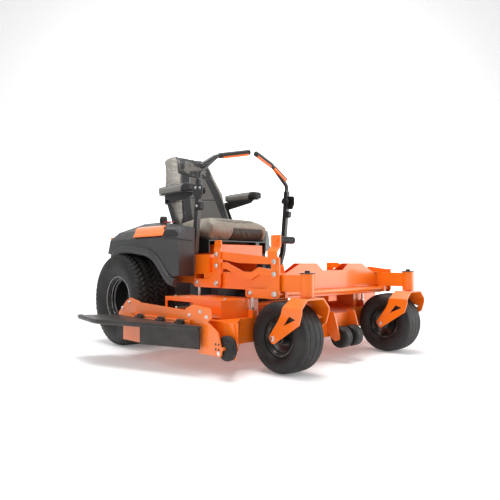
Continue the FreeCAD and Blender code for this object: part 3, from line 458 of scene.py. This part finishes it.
def nut(name, seat, direction, across, height, body, slot="zinc_steel", material=None):
    """A hexagon with a turned chamfer and a flange: radius by angle round a short axis."""
    levels = np.array([[0, across * 1.15], [1.5, across * 1.15], [2.0, across * 0.98],
                       [height * 0.8, across * 0.98], [height, across * 0.78], [height, 0.01]])
    turn = np.arange(24) * math.tau / 24
    hexagon = math.cos(math.pi / 6) / np.cos((turn + math.pi / 6) % (math.pi / 3) - math.pi / 6)
    shape = np.where(np.arange(len(levels))[None, :] >= 2, hexagon[:, None], 1.0)
    radius = levels[None, :, 1] * shape
    direction = Vector(direction).normalized()
    side = direction.orthogonal().normalized()
    other = direction.cross(side)
    points = (np.cos(turn)[:, None, None] * radius[..., None] * np.array(side)
              + np.sin(turn)[:, None, None] * radius[..., None] * np.array(other)
              + levels[None, :, :1] * np.array(direction)) * MM + np.asarray(seat)
    count, rows = points.shape[:2]
    faces = [list(face) for face in grid_faces(count, rows, True, False)]
    faces.append([index * rows for index in range(count)])
    made = piece(name, points, faces, material or ZINC, body, slot, 25.0)
    return fix_normals(made)


def caster_axle_bolts(side):
    """The two heads of the axle bolt, one on each arm of the caster fork."""
    centre = np.array(middle(f"caster_tyre_{side}"))
    for step, face in enumerate((-1, 1)):
        seat = centre + np.array([0, face * 97.0, 0]) * MM
        nut(f"caster_axle_bolt_{side}_{step}", seat, (0, face, 0), 12, 9, f"caster_{side}")


for side_name in SIDES:
    rear_tyre(side_name)
    rear_rim(side_name)
    caster_tyre(side_name)
    caster_rim(side_name)
    caster_axle_bolts(side_name)

# ---------------------------------------------------------------- steel and castings

ORANGE_NODES = {"front_rails": 3.0, "caster_housings": 1.5, "engine_frame": 3.0, "floor_pan": 1.5,
                "rear_guard": 2.0, "seat_base": 3.0, "caster_fork_right": 2.0,
                "caster_fork_left": 2.0, "lift_crank_rear": 1.6, "lift_crank_front": 1.6,
                "lift_links": 1.2, "lift_rod": 1.4, "deck_shell": 1.6, "belt_covers": 1.4}
for node_name, roll in ORANGE_NODES.items():
    refined(node_name, ORANGE, roll)
BLACK_NODES = {"control_lever_right": 2.5, "control_lever_left": 2.5, "lap_bar_right": 1.5,
               "lap_bar_left": 1.5, "arm_bracket_right": 1.5, "arm_bracket_left": 1.5,
               "seat_frame": 2.0, "muffler": 3.0, "caster_caps": 1.2}
for node_name, roll in BLACK_NODES.items():
    refined(node_name, BLACK_PAINT, roll)
ZINC_NODES = ("rear_axle_right", "rear_axle_left", "spindle_right", "spindle_left",
              "spindle_centre", "blade_right", "blade_left", "blade_centre", "engine_pulley")
for node_name in ZINC_NODES:
    refined(node_name, ZINC, 0.8)
refined("engine_block", CASTING, 3.0)
for node_name in ("hydro_units", "spindle_housings"):
    refined(node_name, DARK_CASTING, 3.0)
for node_name in ("engine_shroud", "air_filter"):
    refined(node_name, DARK_PLASTIC, 4.0)
for node_name in ("anti_scalp_wheel_right", "anti_scalp_wheel_left", "front_rollers"):
    refined(node_name, TYRE, 1.5)


# ---------------------------------------------------------------- swept and folded shapes

def smooth_path(points, count, closed=False):
    """A Catmull-Rom curve through the points: count points at even steps of its parameter."""
    points = np.asarray(points, float)
    if closed:
        padded = np.concatenate([points[-1:], points, points[:2]])
        spans = len(points)
    else:
        padded = np.concatenate([2 * points[:1] - points[1:2], points,
                                 2 * points[-1:] - points[-2:-1]])
        spans = len(points) - 1
    place = np.linspace(0, spans, count, endpoint=not closed)
    index = np.minimum(place.astype(int), spans - 1)
    t = (place - index)[:, None]
    before, start, end, after = (padded[index + shift] for shift in range(4))
    return 0.5 * (2 * start + (end - before) * t
                  + (2 * before - 5 * start + 4 * end - after) * t ** 2
                  + (3 * start - before - 3 * end + after) * t ** 3)


def swept(name, path, section, across, material, body, slot, closed=False, smooth=40.0):
    """A section carried along a path: its first number runs along the fixed direction across,
    its second at right angles to that and to the path. The ends are capped."""
    path = np.asarray(path, float)
    section = np.asarray(section, float)
    if closed:
        tangent = np.roll(path, -1, axis=0) - np.roll(path, 1, axis=0)
    else:
        tangent = np.gradient(path, axis=0)
    tangent /= np.linalg.norm(tangent, axis=1)[:, None]
    side = np.asarray(across, float) - tangent * (tangent @ np.asarray(across, float))[:, None]
    side /= np.linalg.norm(side, axis=1)[:, None]
    normal = np.cross(side, tangent)
    points = (path[:, None] + section[None, :, :1] * side[:, None]
              + section[None, :, 1:] * normal[:, None])
    faces = tube_faces(*points.shape[:2], closed)
    made = piece(name, points * MM + SHIFT, faces, material, body, slot, smooth)
    return fix_normals(made)


def ring(radius, count=20, flat=1.0, offset=(0.0, 0.0)):
    """A round or flattened section about an offset."""
    turn = np.arange(count) * math.tau / count
    return np.stack([radius * np.cos(turn) + offset[0],
                     radius * flat * np.sin(turn) + offset[1]], axis=1)


def slab(name, plane, outline, low, high, material, body, slot, roll=2.0, angle=28.0):
    """A flat outline given thickness, with its edges rolled over by a Bevel modifier."""
    outline = np.asarray(outline, float)
    count = len(outline)
    order = {"XZ": (0, 2, 1), "XY": (0, 1, 2), "YZ": (1, 2, 0)}[plane]
    points = np.empty((2 * count, 3))
    for layer, depth in ((0, low), (1, high)):
        part = points[layer * count:(layer + 1) * count]
        part[:, order[0]], part[:, order[1]], part[:, order[2]] = *outline.T, depth
    faces = [list(range(count)), list(range(2 * count - 1, count - 1, -1))]
    faces += [[i, (i + 1) % count, count + (i + 1) % count, count + i] for i in range(count)]
    made = piece(name, points * MM + SHIFT, faces, material, body, slot, angle)
    fix_normals(made)
    bevel = made.modifiers.new("rolled_edges", "BEVEL")
    bevel.width = roll * MM
    bevel.segments = 3
    bevel.limit_method = "ANGLE"
    bevel.angle_limit = math.radians(angle)
    bevel.harden_normals = True
    return made


def bolt(name, place, direction, across, height, body, material=None, slot="zinc_steel"):
    """A flanged bolt head at a machine point."""
    return nut(name, spot(*place), direction, across, height, body, slot, material)


# ---------------------------------------------------------------- fenders

def fender_lip(side, places):
    """A thick lip that follows the wheel opening of one fender, as a swept rounded section."""
    out = SIDES[side]
    path = smooth_path([(x, out * 596, z) for x, z in places], 90)
    section = [(-8, 2), (8, 4), (15, 0), (18, -8), (18, -26), (14, -37), (6, -43), (-8, -44)]
    swept(f"fender_lip_{side}", path, section, (0, out, 0), GREY_PLASTIC, "chassis",
          "grey_plastic", smooth=50.0)


def badge_plate():
    """A blank orange plate that follows the fender's rounded top edge: straight lines along
    the fender, a smooth curve across it."""
    v = np.linspace(0, 1, 15)
    profile = smooth_path([(-522, 712), (-548, 703), (-575, 682), (-604, 650)], 15)
    u = np.linspace(0, 1, 24)
    start = 84 + 52 * v + 16 * (v > 0.62)
    x = start[None, :] + (288 + 18 * v)[None, :] * u[:, None]
    points = np.stack([x, np.broadcast_to(profile[:, 0], x.shape),
                       np.broadcast_to(profile[:, 1], x.shape)], axis=-1)
    badge = piece("badge_plate", points * MM + SHIFT,
                  grid_faces(len(u), len(v), False, False), ORANGE, "chassis", "orange_steel")
    thick = badge.modifiers.new("sheet", "SOLIDIFY")
    thick.thickness = 0.008
    thick.offset = 0.0
    roll = badge.modifiers.new("rolled_edges", "BEVEL")
    roll.width = 0.002
    roll.segments = 2
    roll.limit_method = "ANGLE"


def fenders():
    """Moulded fenders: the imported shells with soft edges, a lip round each wheel opening, and
    on the right a blank badge plate, a raised side panel and a crease round the front."""
    for side in SIDES:
        refined(f"fender_{side}", GREY_PLASTIC, 9.0 if side == "right" else 4.0,
                3, 20.0)
    rear = [(-104, 548), (-60, 572), (12, 597)]
    fender_lip("right", rear + [(110, 599), (210, 590), (300, 579), (360, 558), (410, 528),
                                (455, 488), (493, 452), (530, 424), (575, 414)])
    fender_lip("left", rear + [(52, 599), (88, 599)])
    badge_plate()
    crease = smooth_path([(474, -601, 634), (540, -601, 631), (590, -600, 628), (606, -588, 626),
                          (590, -540, 624), (568, -486, 622)], 60)
    swept("fender_crease", crease, ring(3.0, 12, 0.7), (0, 0, 1), DARK_PLASTIC, "chassis",
          "grey_plastic")
    slab("fender_step", "XZ", [(474, 642), (588, 638), (588, 664), (574, 676), (494, 680),
                               (474, 666)], -602.5, -590, DARK_PLASTIC, "chassis",
         "grey_plastic", 3.0)


fenders()


def fuel_cap():
    """Lobed cap: the radius swells and shrinks eight times round, down its whole side."""
    low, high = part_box("fuel_cap")
    centre = (low + high) / 2
    height = high.z - low.z
    profile = np.array([[0.0, 0.02], [0.0, 0.92], [0.06, 0.98], [0.5, 1.0], [0.62, 0.97],
                        [0.7, 0.9], [0.94, 0.84], [1.0, 0.74], [1.0, 0.02]])
    turn = np.arange(96) * math.tau / 96
    lobes = 1 - 0.13 * (0.5 - 0.5 * np.cos(turn * 8)) ** 2
    reach = (high.x - low.x) / 2
    radius = profile[None, :, 1] * reach * np.where(profile[None, :, 1] > 0.5, lobes[:, None], 1)
    points = np.stack([centre.x + radius * np.cos(turn)[:, None],
                       centre.y + radius * np.sin(turn)[:, None],
                       np.broadcast_to(low.z + profile[:, 0] * height, radius.shape)], axis=-1)
    made = piece("lobed_fuel_cap", points, grid_faces(*points.shape[:2], True, True),
                 BLACK_PLASTIC, "fuel_cap_body", "black_plastic", 40.0)
    fix_normals(made)
    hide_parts("fuel_cap")


fuel_cap()
RED = moulded("red_moulding", (0.5, 0.02, 0.01), 0.35)
slab("fuel_label", "XY", [(238, -452), (300, -452), (306, -420), (244, -412)], 741, 746, RED,
     "chassis", "black_plastic", 2.0)


# ---------------------------------------------------------------- seat

def evaluated(made):
    """The mesh of an object with its modifiers applied."""
    bpy.context.view_layer.update()
    graph = bpy.context.evaluated_depsgraph_get()
    return bpy.data.meshes.new_from_object(made.evaluated_get(graph), depsgraph=graph)


def coordinates(mesh):
    """The vertex places of a mesh as an array."""
    out = np.empty(len(mesh.vertices) * 3, np.float32)
    mesh.vertices.foreach_get("co", out)
    return out.reshape(-1, 3).astype(float)


def stuffed(name, node, material, body, voxel, pressure, cap, shrink):
    """A cushion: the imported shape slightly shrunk, remeshed and blown up by cloth pressure.

    Each point's travel is capped, and the swollen mesh is then divided once.
    """
    mesh = frame["nodes"][node].data.copy()
    mesh.materials.clear()
    work = bmesh.new()
    work.from_mesh(mesh)
    bmesh.ops.remove_doubles(work, verts=work.verts, dist=1e-5)
    work.to_mesh(mesh)
    work.free()
    made = bpy.data.objects.new(name, mesh)
    bpy.context.scene.collection.objects.link(made)
    places = coordinates(mesh)
    centre = (places.min(0) + places.max(0)) / 2
    half = (places.max(0) - places.min(0)) / 2
    places = centre + (places - centre) * (1 - shrink * MM / half)
    mesh.vertices.foreach_set("co", places.astype(np.float32).ravel())
    remesh = made.modifiers.new("even_mesh", "REMESH")
    remesh.mode = "VOXEL"
    remesh.voxel_size = voxel * MM
    made.data = evaluated(made)
    made.modifiers.clear()
    relax = made.modifiers.new("relax", "SMOOTH")
    relax.factor = 0.5
    relax.iterations = 6
    made.data = evaluated(made)
    made.modifiers.clear()
    start = coordinates(made.data)
    cloth = made.modifiers.new("stuffing", "CLOTH")
    cloth.settings.use_pressure = True
    cloth.settings.uniform_pressure_force = pressure
    cloth.settings.effector_weights.gravity = 0.0
    cloth.settings.tension_stiffness = 18
    cloth.settings.compression_stiffness = 18
    cloth.settings.quality = 3
    cloth.point_cache.frame_start = 1
    cloth.point_cache.frame_end = 20
    scene = bpy.context.scene
    for step in range(1, 21):
        scene.frame_set(step)
    swollen = evaluated(made)
    move = coordinates(swollen) - start
    reach = np.linalg.norm(move, axis=1)[:, None]
    move *= np.minimum(1.0, cap * MM / np.maximum(reach, 1e-9))
    made.modifiers.clear()
    made.data.vertices.foreach_set("co", (start + move).astype(np.float32).ravel())
    made.data.update()
    scene.frame_set(1)
    divide = made.modifiers.new("divide", "SUBSURF")
    divide.levels = 1
    divide.render_levels = 1
    made.data = evaluated(made)
    made.modifiers.clear()
    made.data.materials.clear()
    made.data.materials.append(material)
    made.data.polygons.foreach_set("use_smooth", np.ones(len(made.data.polygons), bool))
    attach(made, body)
    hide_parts(node)
    return made


def normals(mesh):
    """The vertex normals of a mesh as an array."""
    out = np.empty(len(mesh.vertices) * 3, np.float32)
    mesh.vertex_normals.foreach_get("vector", out)
    return out.reshape(-1, 3).astype(float)


SEAM_HALF = 4.0
PUFF_AT, PUFF_HALF = 11.0, 7.0
THREAD_HALF = 2.6


def sewn(made, panels, seams, depth):
    """Panels as a vertex attribute and seams as shallow channels.

    panels and seams are functions of the machine coordinates: the first gives 0 for pale, 1 for
    charcoal and between for mid grey, the second the distance to the nearest seam in millimetres.
    The surface sinks along its normal by depth times a bell curve of that distance, and
    rises a little beside the seam.
    """
    places = coordinates(made.data)
    machine = (places - SHIFT) / MM
    inward = normals(made.data)
    away = seams(machine, inward)
    sink = depth * MM * np.exp(-(away / SEAM_HALF) ** 2)
    puff = 1.2 * MM * np.exp(-((away - PUFF_AT) / PUFF_HALF) ** 2)
    places += inward * (puff - sink)[:, None]
    made.data.vertices.foreach_set("co", places.astype(np.float32).ravel())
    for key, values in (("panel", panels(machine, inward)),
                        ("seam", np.exp(-(away / THREAD_HALF) ** 2))):
        attribute = made.data.attributes.new(key, "FLOAT", "POINT")
        attribute.data.foreach_set("value", values.astype(np.float32))
    made.data.update()


def upholstery(name, pale, middle_grey, dark, mottled=0.0):
    """Vinyl whose colour follows the sewn panels, darker in the seams, with leather grain."""
    made = Finish(name, pale, 0.5, Specular_IOR_Level=0.35)
    panel = made.node("ShaderNodeAttribute", {"attribute_name": "panel"}).outputs["Fac"]
    seam = made.node("ShaderNodeAttribute", {"attribute_name": "seam"}).outputs["Fac"]
    wear = made.ramp(made.noise(7.0, 6.0), 0.4, 0.75, 0.0, 0.5)
    first = made.tint(wear, tuple(part * 1.22 for part in pale))
    second = made.tint(made.ramp(panel, 0.15, 0.35), middle_grey, first)
    third = made.tint(made.ramp(panel, 0.62, 0.78), dark, second)
    if mottled:
        cloud = made.ramp(made.noise(16.0, 2.0), 0.5, 0.54, 0.0, mottled)
        patch = made.math("MULTIPLY", cloud, made.ramp(panel, 0.93, 0.97))
        third = made.tint(patch, tuple(part * 0.62 for part in pale), third)
    made.set("Base Color", made.tint(made.ramp(seam, 0.2, 1.0, 0.0, 0.75), (0.01, 0.01, 0.01),
                                     third))
    made.set("Roughness", made.ramp(made.noise(22.0, 4.0), 0.3, 0.7, 0.42, 0.6))
    pebble = made.bump(made.cells(420.0), 0.00025, 0.6)
    made.bump(made.noise(60.0, 5.0), 0.0012, 0.3, pebble)
    return made.material


SEAT_VINYL = upholstery("seat_upholstery", (0.215, 0.2, 0.175), (0.085, 0.08, 0.074),
                        (0.017, 0.017, 0.018), 0.8)
CUSHION_VINYL = upholstery("cushion_upholstery", (0.245, 0.215, 0.175), (0.2, 0.175, 0.145),
                           (0.045, 0.038, 0.031))
ARM_VINYL = upholstery("arm_upholstery", (0.2, 0.195, 0.18), (0.09, 0.088, 0.082),
                       (0.022, 0.022, 0.023))


def seat_back():
    """Back cushion: pale bolsters, charcoal bands that sweep down both sides, a mid grey centre
    and a dark head panel, with sewn channels between."""
    made = stuffed("back_cushion", "seat_back", SEAT_VINYL, "seat", 6.0, 4.0, 24.0, 9.0)

    def spread(machine):
        height = machine[:, 2]
        narrowing = np.clip((height - 990) / 260, 0, 1) ** 1.5
        return np.abs(machine[:, 1]) / (240 - 78 * narrowing), height

    def front(machine, inward):
        return inward[:, 0] + 0.25 * inward[:, 2] > 0.15

    def band_edges(height):
        sweep = np.clip((height - 760) / 420, 0, 1)
        return 0.86 - 0.30 * sweep, 0.56 - 0.34 * sweep ** 1.4

    def panels(machine, inward):
        share, height = spread(machine)
        outer, inner = band_edges(height)
        head = height > 1092 + 40 * share ** 2
        value = np.where(share < outer, 0.85, 0.0)
        value = np.where(share < inner, 0.5, value)
        value = np.where(head & (share < 0.7), 1.0, value)
        lower = (height < 800) & (share < outer)
        value = np.where(lower & (share < inner), 0.5, value)
        return np.where(front(machine, inward), value, 0.0)

    def seams(machine, inward):
        share, height = spread(machine)
        outer, inner = band_edges(height)
        head_line = 1092 + 40 * share ** 2
        lines = [np.where(height < head_line, np.abs(share - outer) * 235, 99),
                 np.where(height < head_line, np.abs(share - inner) * 235, 99),
                 np.where(share < 0.7, np.abs(height - head_line), 99),
                 np.where(height > head_line, np.abs(share - 0.7) * 190, 99),
                 np.where((share < inner) & (height < head_line),
                          np.abs(height - 930 - 18 * share), 99)]
        return np.where(front(machine, inward), np.min(lines, axis=0), 99)

    sewn(made, panels, seams, 5.0)
    return made


def seat_cushion():
    """Seat cushion: pale top and front with a darker front inset, and channels across the top."""
    made = stuffed("seat_pad", "seat_cushion", CUSHION_VINYL, "seat", 6.0, 4.0, 24.0, 9.0)

    def inset(machine, inward):
        across, height = np.abs(machine[:, 1] - 72), machine[:, 2]
        return (inward[:, 0] > 0.45) & (across < 118 + 0.3 * (720 - height)) & (height < 718)

    def panels(machine, inward):
        top = (inward[:, 2] > 0.5) & (np.abs(machine[:, 1]) < 150) & (machine[:, 0] < 385)
        value = np.where(top, 0.5, 0.0)
        return np.where(inset(machine, inward), 1.0, value)

    def seams(machine, inward):
        across, height = np.abs(machine[:, 1]), machine[:, 2]
        beside = np.abs(machine[:, 1] - 72)
        upper = inward[:, 2] > 0.5
        face = inward[:, 0] > 0.45
        edge = 118 + 0.3 * (720 - height)
        lines = [np.where(upper & (machine[:, 0] < 385), np.abs(across - 150), 99),
                 np.where(upper & (across < 150), np.abs(machine[:, 0] - 385), 99),
                 np.where(face & (height < 718), np.abs(beside - edge), 99),
                 np.where(face & (beside < edge), np.abs(height - 718), 99)]
        return np.min(lines, axis=0)

    sewn(made, panels, seams, 4.0)
    return made


def arm_pad(side):
    """Arm pad: grey sides and a charcoal top cap and front end."""
    made = stuffed(f"arm_cushion_{side}", f"arm_pad_{side}", ARM_VINYL, f"armrest_{side}", 5.0,
                   3.0, 8.0, 4.0)

    def panels(machine, inward):
        return np.where(machine[:, 0] > 226 + 0.4 * (machine[:, 2] - 965), 1.0,
                        np.where(inward[:, 2] > 0.75, 0.5, 0.0))

    def seams(machine, inward):
        front_seam = np.abs(machine[:, 0] - 226 - 0.4 * (machine[:, 2] - 965))
        top_seam = np.where(machine[:, 0] < 220, np.abs(inward[:, 2] - 0.75) * 22, 99)
        return np.minimum(front_seam, top_seam)

    sewn(made, panels, seams, 1.6)


seat_back()
seat_cushion()
for side_name in SIDES:
    arm_pad(side_name)


# ---------------------------------------------------------------- steering levers

LEVER_Y = 371


def lap_bar_fittings(side):
    """Grip with ridges on the lap bar, an orange strip under it, and a sleeve on the upright leg
    with an orange strip on the left one.
    """
    out = SIDES[side]
    elbow, tip = np.array([480, out * 237, 1135.0]), np.array([537, out * 25, 1180.0])
    start = elbow + 0.06 * (tip - elbow)
    u = np.linspace(0, 1, 120)
    path = start + (tip + (tip - elbow) * 0.012 - start) * u[:, None]
    swell = 16.4 + 0.5 * np.cos(u * math.tau * 22) * (u > 0.05) * (u < 0.9)
    swell *= np.clip(np.sqrt(np.clip(1.0 - ((u - 0.97) / 0.03) ** 2, 0, 1)) + (u < 0.97), 0, 1)
    direction = (tip - elbow) / np.linalg.norm(tip - elbow)
    side_way = np.cross(direction, (0, 0, 1.0))
    side_way /= np.linalg.norm(side_way)
    over = np.cross(side_way, direction)
    turn = np.arange(24) * math.tau / 24
    radius = np.maximum(swell, 0.3)[:, None, None]
    points = (path[:, None] + radius * (np.cos(turn)[:, None] * side_way
                                        + np.sin(turn)[:, None] * over))
    grip = piece(f"bar_grip_{side}", points * MM + SHIFT, tube_faces(len(u), len(turn)),
                 BLACK_PLASTIC, f"bar_{side}", "black_plastic", 50.0)
    fix_normals(grip)
    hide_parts(f"lap_grip_{side}")
    under = np.array([6.0, 0, -11.0])
    strip_path = np.array([start + 0.1 * (tip - elbow), tip - 0.06 * (tip - elbow)]) + under
    strip_path = strip_path[0] + (strip_path[1] - strip_path[0]) * np.linspace(0, 1, 12)[:, None]
    swept(f"bar_strip_{side}", strip_path, ring(9.5, 16, 0.8), (0, 0, 1), ORANGE, f"bar_{side}",
          "orange_steel")
    low = np.array([480, out * LEVER_Y, 1052.0])
    leg = low + (elbow - low) * np.linspace(0.08, 0.92, 12)[:, None]
    swept(f"bar_sleeve_{side}", leg, ring(15.5, 20), (1, 0, 0), BLACK_PLASTIC, f"bar_{side}",
          "black_plastic")
    if side == "left":
        swept("bar_sleeve_strip_left", leg + [5.0, -6.0, -5.0], ring(12.5, 16), (1, 0, 0), ORANGE,
              "bar_left", "orange_steel")


def lever_fittings(side):
    """Folding bracket at the top of each lever, the clamp half way down and their bolts."""
    out = SIDES[side]
    body = f"lever_{side}"
    face = sorted((out * (LEVER_Y + 12.5), out * (LEVER_Y + 21)))
    slab(f"bar_bracket_{side}", "XZ",
         [(442, 938), (454, 950), (520, 950), (534, 940), (534, 895), (516, 862), (470, 862),
          (448, 892)], *face, BLACK_PAINT, body, "black_steel", 3.0)
    for step, place in enumerate(((474, 930), (517, 926))):
        bolt(f"bracket_bolt_{side}_{step}", (place[0], out * (LEVER_Y + 21), place[1]),
             (0, out, 0), 7, 6, body)
    slab(f"height_clamp_{side}", "XZ",
         [(452, 800), (508, 806), (512, 846), (460, 850)],
         *sorted((out * 356, out * 388)), BLACK_PLASTIC, body, "black_plastic", 5.0)
    bolt(f"clamp_bolt_{side}", (482, out * 388, 826), (0, out, 0), 7, 6, body)
    slab(f"bar_knuckle_{side}", "XZ",
         [(456, 900), (505, 896), (514, 915), (502, 936), (466, 938), (452, 918)],
         *sorted((out * 345, out * 358)), BLACK_PLASTIC, body, "black_plastic", 4.0)


for side_name in SIDES:
    lap_bar_fittings(side_name)
    lever_fittings(side_name)


# ---------------------------------------------------------------- deck lift and deck details

LIFT_SHAFTS = {"front": (1180, 356), "rear": (767, 394)}
HANGER_REACH = 165


def hangers():
    """Slim plated hanger rods with a pin at the top and a nut at the deck."""
    shown = None
    for side, out in SIDES.items():
        for step, (shaft_x, z) in enumerate(LIFT_SHAFTS.values()):
            x = shaft_x - HANGER_REACH
            path = np.stack([np.full(12, x), np.full(12, out * 462.0), np.linspace(262, z, 12)],
                            axis=1)
            rod = swept(f"hanger_rod_{side}_{step}", path, ring(6.5, 18), (1, 0, 0), ZINC, "deck",
                        "zinc_steel")
            shown = shown or rod
            bolt(f"hanger_pin_{side}_{step}", (x, out * 474.5, z), (0, out, 0), 11, 9, "deck")
            bolt(f"hanger_nut_{side}_{step}", (x, out * 462, 275), (0, 0, 1), 12, 12, "deck")
    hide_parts("hanger_rods")


def lift_bolts():
    """Bolt heads on the crank pivots and the link pins, and the rubber sleeve on the pedal."""
    for label, (x, z) in reversed(LIFT_SHAFTS.items()):
        for side, out in SIDES.items():
            bolt(f"crank_bolt_{label}_{side}", (x, out * 478, z), (0, out, 0), 13, 10,
                 f"lift_{label}")
            bolt(f"link_bolt_{label}_{side}", (x, out * 479, z + 92), (0, out, 0), 11, 8,
                 f"lift_{label}")
        bolt(f"rod_bolt_{label}", (x, -479, z + 150), (0, -1, 0), 11, 8, f"lift_{label}")
    u = np.linspace(0, 1, 90)
    path = np.stack([np.full(90, 1165.0), -444 + 112 * u, np.full(90, 608.0)], axis=1)
    radius = 17.5 + 0.6 * np.cos(u * math.tau * 16) * (u > 0.06) * (u < 0.94)
    radius = radius * np.clip((u / 0.03), 0.8, 1) * np.clip(((1 - u) / 0.03), 0.8, 1)
    turn = np.arange(28) * math.tau / 28
    points = path[:, None] + radius[:, None, None] * np.stack(
        [np.cos(turn), np.zeros(28), np.sin(turn)], axis=1)
    fix_normals(piece("pedal_grip", points * MM + SHIFT, tube_faces(len(u), len(turn)),
                      BLACK_PLASTIC, "lift_front", "black_plastic", 50.0))


def chute_details():
    """Moulded chute: soft edges and a thick lip round its outside."""
    refined("chute_deflector", CHUTE_RUBBER, 2.0, 2, 25.0)
    rim = smooth_path([(170, -918, 0), (154, -930, 0), (180, -937, 0), (300, -957, 0),
                       (440, -974, 0), (600, -919, 0), (800, -846, 0), (1004, -774, 0)], 70)
    rim[:, 2] = 211
    swept("chute_lip", rim, ring(7.5, 16, 1.55), (0.3, 1, 0), CHUTE_RUBBER, "chute",
          "chute_rubber")


def deck_bolts():
    """Carriage bolts on the hinge bracket, screws on the covers, and black discs on the side plates
    that are painted shade for the holes there.
    """
    for step, (x, z) in enumerate(((300, 258), (372, 292), (905, 262), (985, 282), (1030, 262))):
        bolt(f"ear_bolt_{step}", (x, -751, z), (0, -1, 0), 8, 7, "deck")
    for side, out in SIDES.items():
        for step, (x, y) in enumerate(((580, -600), (975, -600), (975, -420), (840, -646),
                                       (955, -646))):
            top = 327.2 if y > -640 else 249.2
            bolt(f"cover_screw_{side}_{step}", (x, -out * y, top), (0, 0, 1), 7, 6, "deck")
        # Each height hole is a thin black disc on the plate: painted shade for the dark opening,
        # not a cut.
        for step, (x, z) in enumerate(((1092, 128), (1112, 128), (1092, 150), (1112, 150))):
            disc = np.array([[0, 0.3], [0, 5.2], [1.2, 5.0], [1.4, 0.3]]) * [out, 1]
            turning(f"height_hole_{side}_{step}", disc, 20,
                    spot(x, out * 750.6, z), "y", BLACK_PLASTIC, "deck", "black_plastic")
        bolt(f"scalp_bolt_{side}", (1110, out * 750.4, 112), (0, out, 0), 9, 4.2, "deck")


hangers()
lift_bolts()
chute_details()
deck_bolts()


def underside_shade_block():
    """A folded black block that hangs below the engine plate, along the middle: painted shade that
    stands in for the shaded parts seen through the gap there.
    """
    # Painted shade: black filler where the gap under the engine plate shows dark.
    slab("underside_shade_block", "XZ", [(-215, 182), (-60, 182), (-60, 258), (170, 262), (170, 372),
                                (-215, 372)], -36, 36, BLACK_PLASTIC, "chassis",
         "black_plastic", 6.0)


underside_shade_block()


# ---------------------------------------------------------------- camera, light and floor

CAMERA_PLACE = (2782.3, -2147.2, 497.0)
CAMERA_TURN = (46.583, -1.535)
CAMERA_LENS = 36.44


def studio():
    """A pale floor that rolls up behind the object, soft light and the camera."""
    scene = bpy.context.scene
    azimuth, elevation = (math.radians(part) for part in CAMERA_TURN)
    back = Vector((math.sin(azimuth) * math.cos(elevation),
                   -math.cos(azimuth) * math.cos(elevation), math.sin(elevation)))
    right = Vector((math.cos(azimuth), math.sin(azimuth), 0))
    up = back.cross(right)
    data = bpy.data.cameras.new("camera")
    data.sensor_width = 36
    data.lens = CAMERA_LENS
    data.clip_end = 100
    camera = bpy.data.objects.new("camera", data)
    turn = Matrix((right, up, back)).transposed().to_4x4()
    camera.matrix_world = Matrix.Translation(Vector(spot(*CAMERA_PLACE))) @ turn
    scene.collection.objects.link(camera)
    scene.camera = camera

    floor_finish = Finish("pale_floor", (0.88, 0.88, 0.88), 0.7, Emission_Color=(1, 1, 1, 1),
                          Emission_Strength=0.18)
    floor_finish.set("Roughness", floor_finish.ramp(floor_finish.noise(4.0), 0.3, 0.7, 0.65, 0.8))
    reach, corner = 14.0, 4.0
    bend = np.radians(np.linspace(-90, 0, 24))
    run = np.concatenate([[[-reach, 0.0]], np.stack([reach * 0.5 + corner * np.cos(bend),
                                                     corner + corner * np.sin(bend)], axis=1),
                          [[reach * 0.5 + corner, 14.0]]])
    across = np.linspace(-20, 20, 9)
    away = -np.array(back) * [1, 1, 0]
    away /= np.linalg.norm(away)
    beside = np.array(right)
    points = (run[:, None, :1] * away + across[None, :, None] * beside
              + run[:, None, 1:] * np.array([0, 0, 1.0]))
    mesh = bpy.data.meshes.new("floor")
    mesh.from_pydata(points.reshape(-1, 3).tolist(), [],
                     grid_faces(len(run), len(across), False, False).tolist())
    mesh.polygons.foreach_set("use_smooth", np.ones(len(mesh.polygons), bool))
    mesh.materials.append(floor_finish.material)
    floor = bpy.data.objects.new("floor", mesh)
    scene.collection.objects.link(floor)

    world = bpy.data.worlds.new("studio")
    scene.world = world
    world.use_nodes = True
    world.node_tree.nodes["Background"].inputs["Color"].default_value = (1, 1, 1, 1)
    world.node_tree.nodes["Background"].inputs["Strength"].default_value = 0.46
    scene.view_settings.view_transform = "Standard"
    lamps = {"overhead": ((0.3, -0.2, 4.2), (0.1, 0, 0.3), 2.3, 165.0),
             "front": ((3.5, 3.3, 1.3), (0.6, 0, 0.4), 3.2, 115.0),
             "right": ((0.6, -4.2, 2.6), (0, 0, 0.4), 2.8, 60.0),
             "backdrop": ((-2.6, 3.0, 3.4), (-6.5, 6.5, 1.5), 4.0, 600.0)}
    for name, (place, target, size, power) in lamps.items():
        lamp = bpy.data.lights.new(name, "AREA")
        lamp.shape = "SQUARE"
        lamp.size = size
        lamp.energy = power
        holder = bpy.data.objects.new(name, lamp)
        aim = Vector(target) - Vector(place)
        holder.matrix_world = (Matrix.Translation(Vector(place))
                               @ aim.to_track_quat("-Z", "Y").to_matrix().to_4x4())
        scene.collection.objects.link(holder)


studio()
